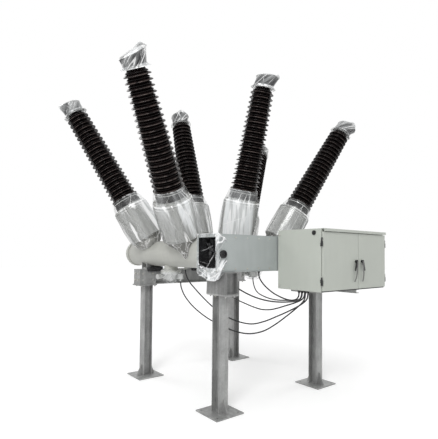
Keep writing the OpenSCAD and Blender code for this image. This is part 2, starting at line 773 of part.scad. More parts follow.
// round tube along a route, one ring of points at each of the route's points
module cable(route) {
    side = unit(cross(last(route) - route[0], [0, 0, 1]));
    rings = len(route);
    points = [for (k = [0:rings - 1])
        let (t = heading(route, k), up = unit(cross(side, t)), across = cross(t, up))
        for (j = [0:CABLE_SIDES - 1])
            let (a = j * 360 / CABLE_SIDES) route[k] + cable_d / 2 * (cos(a) * across + sin(a) * up)];
    sides = [for (k = [0:rings - 2], j = [0:CABLE_SIDES - 1])
        let (a = k * CABLE_SIDES + j, b = k * CABLE_SIDES + (j + 1) % CABLE_SIDES)
        [a, a + CABLE_SIDES, b + CABLE_SIDES, b]];
    caps = [[for (j = [0:CABLE_SIDES - 1]) j],
            [for (j = [CABLE_SIDES - 1:-1:0]) (rings - 1) * CABLE_SIDES + j]];
    color(black) polyhedron(points, concat(sides, caps), convexity = 4);
}

// gland under the origin, with its hexagon against what carries it
module gland_below() {
    translate([0, 0, -gland_l]) cylinder(r = gland_r * 0.78, h = gland_l);
    translate([0, 0, -gland_l * 0.4]) cylinder(r = gland_r, h = gland_l * 0.4, $fn = 6);
}

// glands in the cabinet's floor and under the linkage housing
module cable_glands() {
    color(black) {
        for (route = ROUTES) translate([last(route)[0], last(route)[1], cabinet_z]) gland_below();
        for (route = [ROUTE_HOUSING_LEFT, ROUTE_HOUSING_MIDDLE])
            translate([route[0][0], route[0][1], housing_bottom]) gland_below();
    }
}

front_leg(-1);  // leg_front_left
front_leg(1);  // leg_front_right
rear_leg(-1);  // leg_rear_left
rear_leg(1);  // leg_rear_right
rear_beam();
pedestal(-1);  // pedestal_left
pedestal(1);  // pedestal_right
tank_saddles();
tank(-1);  // tank_left
tank(0);  // tank_middle
tank(1);  // tank_right
end_cover(-1);  // end_cover_left
end_cover(0);  // end_cover_middle
end_cover(1);  // end_cover_right
gas_port(-1);  // gas_port_left
gas_port(0);  // gas_port_middle
gas_port(1);  // gas_port_right
ct_housing(-1, -1);  // ct_near_left
ct_housing(0, -1);  // ct_near_middle
ct_housing(1, -1);  // ct_near_right
ct_housing(-1, 1);  // ct_far_left
ct_housing(0, 1);  // ct_far_middle
ct_housing(1, 1);  // ct_far_right
porcelain(-1, -1);  // porcelain_near_left
porcelain(0, -1);  // porcelain_near_middle
porcelain(1, -1);  // porcelain_near_right
porcelain(-1, 1);  // porcelain_far_left
porcelain(0, 1);  // porcelain_far_middle
porcelain(1, 1);  // porcelain_far_right
terminal(-1, -1);  // terminal_near_left
terminal(0, -1);  // terminal_near_middle
terminal(1, -1);  // terminal_near_right
terminal(-1, 1);  // terminal_far_left
terminal(0, 1);  // terminal_far_middle
terminal(1, 1);  // terminal_far_right
linkage_housing();
linkage_crank();
position_window();
cabinet_shell();
cabinet_roof();
cabinet_hinges();
vent_plug();
cabinet_arms();
cable_glands();
door(-1);  // left_door
door(1);  // right_door
handle(-1);  // left_handle
handle(1);  // right_handle
cable(ROUTE_LEFT_PORT);  // cable_left_port
cable(ROUTE_LEFT_TANK);  // cable_left_tank
cable(ROUTE_MIDDLE_PORT);  // cable_middle_port
cable(ROUTE_HOUSING_LEFT);  // cable_housing_left
cable(ROUTE_RIGHT_PORT);  // cable_right_port
cable(ROUTE_HOUSING_MIDDLE);  // cable_housing_middle
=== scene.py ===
"""Finishes, protective wrapping, fasteners and cables of a three-phase gas insulated circuit breaker."""

import json
import math

import bpy
import numpy as np
from mathutils import Matrix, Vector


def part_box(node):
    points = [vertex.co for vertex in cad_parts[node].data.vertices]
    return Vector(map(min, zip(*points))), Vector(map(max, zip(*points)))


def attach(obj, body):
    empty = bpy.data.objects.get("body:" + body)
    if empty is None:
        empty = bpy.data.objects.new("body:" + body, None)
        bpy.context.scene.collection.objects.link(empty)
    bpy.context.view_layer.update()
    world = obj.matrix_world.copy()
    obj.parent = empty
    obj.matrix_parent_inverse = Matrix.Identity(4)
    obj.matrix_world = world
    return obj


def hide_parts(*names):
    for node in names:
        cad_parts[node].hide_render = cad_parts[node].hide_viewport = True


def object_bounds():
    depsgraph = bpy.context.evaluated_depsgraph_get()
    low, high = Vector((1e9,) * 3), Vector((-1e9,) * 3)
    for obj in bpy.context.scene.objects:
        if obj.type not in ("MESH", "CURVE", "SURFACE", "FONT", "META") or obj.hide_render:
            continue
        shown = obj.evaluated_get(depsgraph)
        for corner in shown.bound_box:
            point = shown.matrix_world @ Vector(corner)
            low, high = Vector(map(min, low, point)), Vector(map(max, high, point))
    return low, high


bl_info = {
    "name": "Gas Insulated Breaker",
    "version": (1, 0, 0),
    "blender": (4, 5, 0),
    "location": "View3D > Sidebar > Breaker",
    "description": "Dresses a dead-tank circuit breaker with paint, porcelain, wrapping film, bolts and cables",
    "category": "Add Mesh",
}

FIXED = "breaker"
SIDES = ("left", "middle", "right")
ENDS = ("near", "far")

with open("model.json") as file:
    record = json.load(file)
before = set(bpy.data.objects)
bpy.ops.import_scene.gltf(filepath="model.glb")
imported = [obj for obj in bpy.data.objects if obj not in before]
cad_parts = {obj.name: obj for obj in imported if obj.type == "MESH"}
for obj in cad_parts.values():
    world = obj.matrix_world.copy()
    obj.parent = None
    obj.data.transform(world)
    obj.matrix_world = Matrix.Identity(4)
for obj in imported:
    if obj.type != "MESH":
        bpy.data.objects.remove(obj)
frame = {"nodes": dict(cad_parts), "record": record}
cad_bounds = [list(corner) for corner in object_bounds()]


# ---------------------------------------------------------------- settings


class ViewSettings(bpy.types.PropertyGroup):
    """Where the view is taken from"""

    location: bpy.props.FloatVectorProperty(
        name="Location", description="Eye point", default=(-3.52, -4.223, 1.698), subtype="XYZ", unit="LENGTH"
    )
    heading: bpy.props.FloatProperty(
        name="Heading", description="Turn of the view from the tanks' direction", default=math.radians(38.36),
        subtype="ANGLE",
    )
    pitch: bpy.props.FloatProperty(
        name="Pitch", description="Upward tilt of the view", default=math.radians(1.85), subtype="ANGLE"
    )
    roll: bpy.props.FloatProperty(
        name="Roll", description="Turn of the view about its own line", default=math.radians(0.52), subtype="ANGLE"
    )
    lens: bpy.props.FloatProperty(name="Lens", description="Focal length in millimetres", default=32.99, min=1.0)
    rise: bpy.props.FloatProperty(name="Rise", description="Upward shift of the view", default=0.0478)
    key_power: bpy.props.FloatProperty(name="Key Light", description="Main light", default=470.0, subtype="POWER")
    fill_power: bpy.props.FloatProperty(name="Fill Light", description="Side light", default=110.0, subtype="POWER")
    ambient: bpy.props.FloatProperty(name="Ambient", description="Light from all round", default=0.74, min=0.0)


def colour_property(label, words, value):
    """A colour setting with its name, description and default."""
    return bpy.props.FloatVectorProperty(name=label, description=words, default=value, subtype="COLOR", size=3)


class FinishSettings(bpy.types.PropertyGroup):
    """Colours of the paints, glaze, film and fittings"""

    zinc: colour_property("Zinc", "Hot-dip galvanised steel", (0.375, 0.378, 0.374))
    tank: colour_property("Tank Paint", "Paint on tanks and covers", (0.465, 0.47, 0.435))
    silver: colour_property("Silver Paint", "Paint on the transformer housings", (0.60, 0.61, 0.60))
    housing: colour_property("Housing Paint", "Paint on the linkage housing", (0.40, 0.43, 0.425))
    cabinet: colour_property("Cabinet Coat", "Powder coat on the cabinet", (0.475, 0.50, 0.455))
    glaze: colour_property("Glaze", "Porcelain glaze", (0.006, 0.004, 0.004))
    # Pale rims: partly thin glaze, partly a painted highlight along the sheds' edges.
    rim_glaze_and_highlight: colour_property("Glaze at Rims", "Thin glaze on the sheds' rims", (0.10, 0.078, 0.07))
    black: colour_property("Black", "Handles, hinges and fittings", (0.012, 0.012, 0.013))
    sheath: colour_property("Cable Sheath", "Outer sheath of the cables", (0.016, 0.016, 0.018))
    film: colour_property("Film", "Clear wrapping film", (0.86, 0.88, 0.89))


class WrapSettings(bpy.types.PropertyGroup):
    """Sizes of the protective wrapping"""

    stand_off: bpy.props.FloatProperty(
        name="Stand-off", description="Air under the film", default=0.007, unit="LENGTH", min=0.001
    )
    crumple: bpy.props.FloatProperty(
        name="Crumple", description="Depth of the film's folds", default=0.010, unit="LENGTH", min=0.0
    )


class HardwareSettings(bpy.types.PropertyGroup):
    """Sizes of bolts, ties and straps"""

    bolt: bpy.props.FloatProperty(
        name="Bolt", description="Radius of a common bolt's head", default=0.011, unit="LENGTH", min=0.002
    )
    cable: bpy.props.FloatProperty(
        name="Cable", description="Diameter of a control cable", default=0.016, unit="LENGTH", min=0.004
    )
    sheds: bpy.props.IntProperty(name="Sheds", description="Large sheds on a porcelain", default=21, min=2)


# ---------------------------------------------------------------- shader maths


class Signal:
    """A socket in a finish's node tree. Arithmetic on it adds Math nodes."""

    def __init__(self, finish, socket):
        self.finish, self.socket = finish, socket

    def maths(self, operation, *values):
        return self.finish.node("ShaderNodeMath", {"operation": operation}, dict(enumerate(values)))

    def __add__(self, other):
        return self.maths("ADD", self, other)

    def __sub__(self, other):
        return self.maths("SUBTRACT", self, other)

    def __rsub__(self, other):
        return self.maths("SUBTRACT", other, self)

    def __mul__(self, other):
        return self.maths("MULTIPLY", self, other)

    __radd__ = __add__
    __rmul__ = __mul__

    def at_least(self, other):
        """The larger of the two."""
        return self.maths("MAXIMUM", self, other)

    def ramp(self, low, high):
        """0 below low, 1 above high, with a soft step between."""
        kind = {"interpolation_type": "SMOOTHSTEP", "clamp": True}
        return self.finish.node("ShaderNodeMapRange", kind, {0: self, 1: low, 2: high, 3: 0.0, 4: 1.0})


class Finish:
    """One material, or the surroundings: its node tree and the few ways in which nodes are added to it."""

    def __init__(self, name, collection="materials"):
        self.owner = getattr(bpy.data, collection).new(name)
        self.owner.use_nodes = True
        self.tree = self.owner.node_tree
        self.tree.nodes.clear()

    def node(self, kind, settings=None, inputs=None, output=0):
        """Adds a node of a kind, sets its settings, then fills or links its sockets."""
        made = self.tree.nodes.new(kind)
        for key, value in (settings or {}).items():
            setattr(made, key, value)
        for key, value in (inputs or {}).items():
            if isinstance(value, Signal):
                self.tree.links.new(value.socket, made.inputs[key])
            else:
                made.inputs[key].default_value = value
        return Signal(self, made.outputs[output])

    def stretched(self, coordinates, stretch):
        """Coordinates times a factor along each axis."""
        return self.node("ShaderNodeMapping", {}, {"Vector": coordinates, "Scale": stretch})

    def place(self, stretch=(1.0, 1.0, 1.0)):
        """Object coordinates, stretched along each axis."""
        return self.stretched(self.node("ShaderNodeTexCoord", output="Object"), stretch)

    def noise(self, where, scale, detail=4.0, roughness=0.55):
        inputs = {"Vector": where, "Scale": scale, "Detail": detail, "Roughness": roughness}
        return self.node("ShaderNodeTexNoise", {}, inputs)

    def cells(self, where, scale):
        """Voronoi cells, each with a tone of its own."""
        return self.node("ShaderNodeTexVoronoi", {}, {"Vector": where, "Scale": scale}, "Color")

    def attribute(self, name, output="Fac"):
        return self.node("ShaderNodeAttribute", {"attribute_name": name}, {}, output)

    def blend(self, first, second, factor):
        """Colour between first and second."""
        first, second = (c if isinstance(c, Signal) else (*c, 1.0) for c in (first, second))
        return self.node("ShaderNodeMix", {"data_type": "RGBA"}, {0: factor, 6: first, 7: second}, 2)

    def bump(self, height, strength, distance):
        return self.node("ShaderNodeBump", {}, {"Height": height, "Strength": strength, "Distance": distance})

    def finish_with(self, **sockets):
        """Ends the tree in a Principled shader whose sockets are given with _ for spaces."""
        inputs = {}
        for key, value in sockets.items():
            if key in ("Base_Color", "Emission_Color") and not isinstance(value, Signal):
                value = (*value, 1.0)
            inputs[key.replace("_", " ")] = value
        return self.end_in("ShaderNodeOutputMaterial", self.node("ShaderNodeBsdfPrincipled", {}, inputs))

    def end_in(self, kind, shader):
        """Links a shader to an output node of a kind, and gives what the tree belongs to."""
        end = self.tree.nodes.new(kind)
        self.tree.links.new(shader.socket, end.inputs["Surface"])
        return self.owner


def shade(colour, factor):
    """The colour made lighter or darker, and kept below white."""
    return tuple(min(0.95, channel * factor) for channel in colour)


def galvanised_finish(name, colour):
    """Dull zinc: large crystals in tone and gloss, pale oxide streaks that run down and fine grit."""
    f = Finish(name)
    crystals = f.cells(f.place(), 60.0)
    streaks = f.noise(f.place((26.0, 26.0, 2.2)), 1.0, 5.0)
    clouds = f.noise(f.place(), 5.0, 5.0)
    tone = crystals * 0.14 + streaks.ramp(0.38, 0.72) * 0.2 + clouds * 0.66
    base = f.blend(shade(colour, 0.7), shade(colour, 1.3), tone.ramp(0.2, 0.8))
    grit = f.noise(f.place(), 420.0, 2.0)
    return f.finish_with(
        Base_Color=base, Metallic=0.55, Roughness=tone * 0.3 + 0.36, Normal=f.bump(grit, 0.25, 0.0006)
    )


def paint_finish(name, colour, gloss, wear, metallic=0.0, dust=True):
    """Sprayed paint: soft clouds of tone, fine orange peel, dust that settles on what faces up."""
    f = Finish(name)
    clouds = f.noise(f.place(), 3.2, 6.0)
    runs = f.noise(f.place((14.0, 14.0, 1.6)), 1.0, 4.0)
    tone = clouds.ramp(0.3, 0.72) * 0.6 + runs.ramp(0.35, 0.75) * 0.4
    base = f.blend(shade(colour, 1.0 - wear), shade(colour, 1.0 + wear * 0.7), tone)
    if dust:
        up = f.node("ShaderNodeSeparateXYZ", {}, {0: f.node("ShaderNodeNewGeometry", output="Normal")}, 2)
        base = f.blend(base, (0.62, 0.62, 0.59), up.ramp(0.4, 1.0) * (f.noise(f.place(), 9.0) * 0.5))
    peel = f.noise(f.place(), 240.0, 3.0)
    return f.finish_with(
        Base_Color=base, Metallic=metallic, Roughness=tone * 0.12 + gloss, Normal=f.bump(peel, 0.12, 0.0005)
    )


def glaze_finish(colour, rim_glaze_and_highlight_colour):
    """Brown glaze, paler on the sheds' rims, partly from thin glaze and partly as a painted highlight along their
    edges, with a wet gloss and slight waves.
    """
    f = Finish("brown glaze")
    rim = f.attribute("rim")
    clouds = f.noise(f.place(), 14.0, 4.0)
    body = f.blend(shade(colour, 0.7), shade(colour, 1.7), clouds.ramp(0.35, 0.7))
    # The rims are blended towards the paler colour: thin glaze there, and a painted highlight.
    base = f.blend(body, rim_glaze_and_highlight_colour, rim * f.noise(f.place(), 22.0).ramp(0.36, 0.66))
    waves = f.noise(f.place(), 60.0, 2.0)
    return f.finish_with(
        Base_Color=base, Roughness=clouds * 0.14 + 0.2, Specular_IOR_Level=0.2, Normal=f.bump(waves, 0.08, 0.001)
    )


def film_finish(name, dark, light, clear, haze, line, streaks):
    """Clear film: soft streaks of light and dark along its folds, painted reflections, and thin white lines where it
    is creased, partly the creased film's own white and partly painted highlights.

    clear is the film's own opacity, and haze and line are what the pale streaks and the creases add. streaks
    is how many there are in a metre across and along the film's own pattern coordinates. A thin line runs
    where a stretched noise passes its middle value.
    """
    f = Finish(name)
    across, along = streaks
    scaled = f.stretched(f.attribute("pattern", "Vector"), (across, across, along))
    sway = f.node("ShaderNodeTexNoise", {}, {"Vector": scaled, "Scale": 0.5, "Detail": 1.0}, "Color")
    where = f.node("ShaderNodeVectorMath", {"operation": "MULTIPLY_ADD"}, {0: sway, 1: (1.1, 1.1, 1.1), 2: scaled})
    broad = f.noise(where, 1.0, 1.5, 0.4).ramp(0.41, 0.60)
    narrow = f.noise(where, 3.1, 2.0, 0.5)
    # tone runs from the dark colour to the light one in streaks along the folds: painted reflections.
    tone = broad * 0.62 + narrow.ramp(0.36, 0.64) * 0.38
    off_middle = f.noise(where, 0.8, 1.0, 0.3) - 0.5
    drawn = 1.0 - (off_middle * off_middle).ramp(0.0, 0.0006)
    off_fine = narrow - 0.55
    fine = (1.0 - (off_fine * off_fine).ramp(0.0, 0.0008)) * broad.ramp(0.5, 1.0) * 0.5
    thickness = f.attribute("fold")
    # lines: white crease marks, partly the film's own whitening and partly painted highlights.
    lines = (drawn * (narrow.ramp(0.4, 0.55) * 0.7)).at_least(fine) * thickness.ramp(0.2, 0.8)
    lines = (lines + f.attribute("crease")).ramp(0.0, 1.0)
    base = f.blend(f.blend(dark, light, tone), (0.93, 0.93, 0.93), lines)
    alpha = thickness * (tone * haze + clear) + lines * line
    return f.finish_with(
        Base_Color=base, Roughness=tone * 0.2 + 0.08, Alpha=alpha.ramp(-0.02, 1.02), IOR=1.45,
        Normal=f.bump(lines * 0.7 + broad, 0.4, 0.004),
    )


def moulded_finish(name, colour, gloss):
    """Moulded or painted black parts: even colour with fine grain and rubbed, paler patches."""
    f = Finish(name)
    rubbed = f.noise(f.place(), 22.0, 4.0).ramp(0.52, 0.8)
    base = f.blend(colour, tuple(channel + 0.03 for channel in colour), rubbed)
    return f.finish_with(
        Base_Color=base, Roughness=rubbed * -0.12 + gloss, Normal=f.bump(f.noise(f.place(), 300.0, 2.0), 0.2, 0.0004)
    )


def zinc_bolt_finish():
    """Bright zinc plate with light scratches and a yellowish bloom."""
    f = Finish("zinc plate")
    bloom = f.noise(f.place(), 35.0, 4.0).ramp(0.4, 0.7)
    base = f.blend((0.58, 0.58, 0.57), (0.50, 0.48, 0.41), bloom)
    return f.finish_with(Base_Color=base, Metallic=0.85, Roughness=bloom * 0.2 + 0.28)


def rubber_finish(colour):
    """Cable sheath: satin black with faint length-wise streaks on the piece's own UV map."""
    f = Finish("cable sheath")
    streak = f.noise(f.stretched(f.node("ShaderNodeUVMap"), (60.0, 3.0, 1.0)), 1.0, 3.0)
    base = f.blend(colour, tuple(channel + 0.02 for channel in colour), streak.ramp(0.4, 0.8))
    return f.finish_with(Base_Color=base, Roughness=streak * 0.15 + 0.36, Normal=f.bump(streak, 0.1, 0.0004))


# ---------------------------------------------------------------- surfaces


def unit(vector):
    """The vector, or each row of an array, at length one."""
    vector = np.asarray(vector, float)
    return vector / np.linalg.norm(vector, axis=-1, keepdims=True)


def grid_faces(rows, columns, around=False):
    """Quads between neighbouring points of a grid; around joins the last column to the first."""
    row = np.arange(rows - 1)[:, None]
    column = np.arange(columns if around else columns - 1)[None, :]
    below, right = row + 1, (column + 1) % columns
    corners = [row * columns + column, row * columns + right, below * columns + right, below * columns + column]
    return np.stack(np.broadcast_arrays(*corners), axis=-1).reshape(-1, 4)


def make_piece(name, points, faces, finish, body=FIXED, slot=None, uv=None, smooth=True, **attributes):
    """A mesh from points and faces, with a UV for each point and attributes, that rides on a body.

    finish names its material; slot is not used.
    """
    mesh = bpy.data.meshes.new(name)
    points = np.asarray(points, float).reshape(-1, 3)
    mesh.from_pydata(points.tolist(), [], faces.tolist() if hasattr(faces, "tolist") else faces)
    if uv is not None:
        index = np.empty(len(mesh.loops), np.int32)
        mesh.loops.foreach_get("vertex_index", index)
        layer = mesh.uv_layers.new(name="UVMap")
        layer.data.foreach_set("uv", np.asarray(uv, np.float32).reshape(-1, 2)[index].ravel())
    for key, values in attributes.items():
        kind, channel = ("FLOAT_VECTOR", "vector") if key == "pattern" else ("FLOAT", "value")
        mesh.attributes.new(key, kind, "POINT").data.foreach_set(channel, np.asarray(values, np.float32).ravel())
    mesh.polygons.foreach_set("use_smooth", np.full(len(mesh.polygons), smooth))
    mesh.materials.append(MATERIALS[finish])
    mesh.update()
    piece = bpy.data.objects.new(name, mesh)
    bpy.context.scene.collection.objects.link(piece)
    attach(piece, body)
    return piece


def soften(piece, degrees=35.0):
    """Rounds the shading of faces that meet at less than an angle and leaves the rest sharp."""
    piece.data.set_sharp_from_angle(angle=math.radians(degrees))


def smooth_path(points, spacing):
    """A smooth curve through the points: a Catmull-Rom spline whose knots grow by the root of each span.

    Between two points the place at a knot value is found from them and their two neighbours by blending the
    straight lines between neighbours, then those blends, and then those again.
    """
    points = np.asarray(points, float)
    padded = np.vstack([2 * points[0] - points[1], points, 2 * points[-1] - points[-2]])
    knots = np.cumsum(np.r_[0.0, np.linalg.norm(np.diff(padded, axis=0), axis=1) ** 0.5])
    path = []
    for k in range(1, len(padded) - 2):
        count = max(2, int(round(np.linalg.norm(padded[k + 1] - padded[k]) / spacing)))
        t = (knots[k] + (knots[k + 1] - knots[k]) * np.arange(count) / count)[:, None]
        p, s = padded[k - 1:k + 3], knots[k - 1:k + 3]
        first = [(p[j] * (s[j + 1] - t) + p[j + 1] * (t - s[j])) / (s[j + 1] - s[j]) for j in range(3)]
        second = [(first[j] * (s[j + 2] - t) + first[j + 1] * (t - s[j])) / (s[j + 2] - s[j]) for j in range(2)]
        path.append((second[0] * (s[2] - t) + second[1] * (t - s[1])) / (s[2] - s[1]))
    return np.vstack([*path, points[-1:]])


def sweep(path, outline, up=(0.0, 0.0, 1.0)):
    """Carries an outline along a path: each ring is the outline in the plane square to the path there.

    A ring's side direction is the one before it, made square to the path again, so the rings don't twist.
    """
    path = np.asarray(path, float)
    tangent = unit(np.gradient(path, axis=0))
    side = np.empty_like(path)
    side[0] = np.cross(tangent[0], up)
    if np.linalg.norm(side[0]) < 1e-6:
        side[0] = np.cross(tangent[0], (1.0, 0.0, 0.0))
    for k in range(len(path)):
        before = side[k - 1] if k else side[0]
        side[k] = unit(before - tangent[k] * np.dot(before, tangent[k]))
    top = np.cross(tangent, side)
    return path[:, None] + outline[None, :, :1] * side[:, None] + outline[None, :, 1:] * top[:, None]


def turns(count, offset=0.0):
    """A number of angles evenly round a circle, the first one at a share of a step."""
    return (np.arange(count) + offset) * 2 * math.pi / count


def circle(radius, count):
    """Points on a circle, as pairs."""
    angle = turns(count)
    return radius * np.stack([np.cos(angle), np.sin(angle)], axis=-1)


def capped_faces(rows, columns):
    """The faces of a grid that closes on itself, with a flat face over its first row and its last."""
    last = (rows - 1) * columns
    caps = [list(range(columns))[::-1], list(range(last, last + columns))]
    return grid_faces(rows, columns, around=True).tolist() + caps


def closed_tube(path, radius, sides):
    """A round tube along a path with flat ends: its points, faces and a UV for each point."""
    rings = sweep(path, circle(radius, sides))
    length = np.r_[0.0, np.cumsum(np.linalg.norm(np.diff(path, axis=0), axis=1))]
    u, v = np.meshgrid(np.arange(sides) / sides, length)
    return rings.reshape(-1, 3), capped_faces(len(rings), sides), np.stack([u, v], axis=-1)


def turned_faces(points):
    """The faces of a grid of points turned about an axis, facing outwards."""
    return face_outwards(grid_faces(*points.shape[:2], around=True), points, points.mean((0, 1)))


def face_outwards(faces, points, inside):
    """Turns every face round if most of them look towards a point inside the piece."""
    points = np.asarray(points, float).reshape(-1, 3)
    quads = np.asarray(faces)
    a, b, d = points[quads[:, 0]], points[quads[:, 1]], points[quads[:, 3]]
    outward = np.einsum("ij,ij->i", np.cross(b - a, d - a), a - np.asarray(inside, float))
    return quads[:, ::-1] if np.sum(outward) < 0 else quads


def fold_wave(phase):
    """Rises from 0 to 1 and falls back over each whole number: half a sharp fold and half a smooth swell."""
    sharp = 2.0 * np.abs(phase - np.floor(phase + 0.5))
    return 0.5 * sharp + 0.25 * (1.0 - np.cos(2 * math.pi * phase))


def crumple(u, v, circumference, wavelength, seed, waves=7, lengthwise=2.0):
    """Height of crumpled film over its unrolled surface, from -1 to 1: the mean of folded waves.

    Each wave runs in its own direction and fits a whole number of times round the circumference, and
    lengthwise stretches the folds along v.
    """
    rng = np.random.default_rng(seed)
    height = np.zeros_like(u)
    for _ in range(waves):
        times_round = max(1, round(circumference / (wavelength * rng.uniform(0.6, 1.8))))
        slope = rng.uniform(-1.0, 1.0) / (wavelength * lengthwise)
        height += fold_wave(times_round * u / circumference + slope * v + rng.random()) - 0.5
    return height * 2.0 / math.sqrt(waves)


def strokes(u, v, around, marks):
    """Thin lines over unrolled film, from 0 to 1. Each mark is (u, v, u, v, width, strength).

    The value falls off as a bell curve of the distance to the straight line between a mark's two ends, and
    half of it fades towards them. around is the circumference at which u starts again, or 0.
    """
    drawn = np.zeros_like(u)
    for u0, v0, u1, v1, width, strength in marks:
        du, dv = u1 - u0, v1 - v0
        off = u - u0
        if around:
            off = (off - du / 2 + around / 2) % around + du / 2 - around / 2
        t = np.clip((off * du + (v - v0) * dv) / (du * du + dv * dv), 0.0, 1.0)
        distance = np.hypot(off - t * du, v - v0 - t * dv)
        value = strength * np.exp(-((distance / width) ** 2)) * (0.5 + 0.5 * np.sin(t * math.pi))
        drawn = np.maximum(drawn, value)
    return drawn


def normals_of(grid):
    """Unit normals of a grid of points, from the cross product of its two directions."""
    return unit(np.cross(np.gradient(grid, axis=1), np.gradient(grid, axis=0)) + 1e-12)


# ---------------------------------------------------------------- places from the frame


def node_points(node):
    """The vertices of a node of the frame."""
    mesh = frame["nodes"][node].data
    points = np.empty(len(mesh.vertices) * 3)
    mesh.vertices.foreach_get("co", points)
    return points.reshape(-1, 3)


def node_box(node):
    """The low and the high corner of a node's box."""
    return np.array(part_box(node), float)


def node_middle(node):
    """(middle, half size) of a node's box."""
    low, high = node_box(node)
    return (low + high) / 2, (high - low) / 2


class Bushing:
    """A bushing's axis, with the lengths along it at which its pieces begin and end."""

    def __init__(self, end, side):
        self.side, self.name = side, f"{end}_{side}"
        stud = next(m for m in frame["record"]["mounts"] if m["name"] == f"stud_{self.name}")
        self.axis = unit(stud["axis"])
        self.origin = np.array(stud["pos_m"], float)
        self.across = unit(np.cross((0.0, 1.0, 0.0), self.axis))
        self.up = np.cross(self.axis, self.across)
        self.drum = self.reach(f"ct_{self.name}")
        self.porcelain = self.reach(f"porcelain_{self.name}")
        self.terminal = self.reach(f"terminal_{self.name}")
        along, radius = self.corners(f"ct_{self.name}")
        self.drum_end = float(along[radius > self.drum[2] - 0.002].max())

    def corners(self, node):
        """Each vertex of a node as its distance along the axis and from it."""
        offset = node_points(node) - self.origin
        along = offset @ self.axis
        return along, np.linalg.norm(offset - along[:, None] * self.axis, axis=1)

    def reach(self, node):
        """(start, end, largest radius) of a node, measured along the axis."""
        along, radius = self.corners(node)
        return float(along.min()), float(along.max()), float(radius.max())

    def radius_at(self, node, low, high):
        """The largest radius of a node's vertices between two places along the axis."""
        along, radius = self.corners(node)
        return float(radius[(along >= low) & (along <= high)].max())

    def ring(self, along, radius, angle):
        """Points round the axis, for arrays of places, radii and angles."""
        along, radius, angle = np.broadcast_arrays(along, radius, angle)
        return (
            self.origin
            + along[..., None] * self.axis
            + (radius * np.cos(angle))[..., None] * self.across
            + (radius * np.sin(angle))[..., None] * self.up
        )


BUSHINGS = [Bushing(end, side) for end in ENDS for side in SIDES]


def pose_matrix(right, up, back, place):
    """The matrix that turns X, Y and Z to three directions and moves the origin to a place."""
    matrix = np.eye(4)
    matrix[:3] = np.column_stack([right, up, back, place])
    return Matrix(matrix.tolist())


MATERIALS = {}


def make_materials(colours):
    """Makes every finish once and keeps it under its slot's name, or its own where a slot has several."""
    MATERIALS.update(
        galvanised_steel=galvanised_finish("galvanised steel", colours.zinc),
        # A darker copy of the zinc for the pedestals: partly duller steel, partly painted shade.
        dull_zinc=galvanised_finish("dull galvanised steel", shade(colours.zinc, 0.68)),
        tank_paint=paint_finish("tank paint", colours.tank, 0.34, wear=0.10),
        silver_paint=paint_finish("silver paint", colours.silver, 0.26, wear=0.10, metallic=0.55, dust=False),
        housing_paint=paint_finish("housing paint", colours.housing, 0.40, wear=0.09, metallic=0.15),
        cabinet_paint=paint_finish("cabinet coat", colours.cabinet, 0.42, wear=0.035),
        brown_glaze=glaze_finish(colours.glaze, colours.rim_glaze_and_highlight),
        black_fittings=moulded_finish("black fittings", colours.black, 0.42),
        black_plastic=moulded_finish("black nylon", colours.black, 0.5),
        cable_sheath=rubber_finish(colours.sheath),
        # Each film's first colour is the dark and its second the light of its streaks, painted reflections; on the
        # housings they stand in for the metal's reflection bands.
        wrap_film=film_finish("clear film", (0.40, 0.42, 0.43), colours.film, 0.12, 0.40, 0.6, (7.0, 3.0)),
        drum_film=film_finish("film on housings", (0.22, 0.22, 0.20), colours.film, 0.30, 0.66, 0.7, (4.6, 0.5)),
        # Near-black film for the loose corners: painted shade between the housings and the tank.
        shade_film=film_finish("dark film", (0.085, 0.085, 0.078), (0.16, 0.16, 0.15), 0.84, 0.08, 0.15, (5.0, 4.0)),
        # Dark film for the skirts under the housings: its dark colours are painted shade.
        skirt_film=film_finish("film in shadow", (0.10, 0.10, 0.095), (0.42, 0.42, 0.40), 0.78, 0.1, 0.3, (5.0, 4.0)),
        cap_film=film_finish(
            "film on terminals", (0.022, 0.022, 0.024), (0.36, 0.37, 0.37), 0.84, 0.1, 0.25, (9.0, 2.2)
        ),
        lid_film=film_finish("film over terminals", (0.40, 0.41, 0.41), colours.film, 0.30, 0.30, 0.5, (9.0, 5.0)),
        # A grey for the thin bands below the handles' hubs.
        webbing=moulded_finish("hub_band webbing", (0.14, 0.14, 0.135), 0.6),
        zinc_bolts=zinc_bolt_finish(),
    )


# ---------------------------------------------------------------- cables

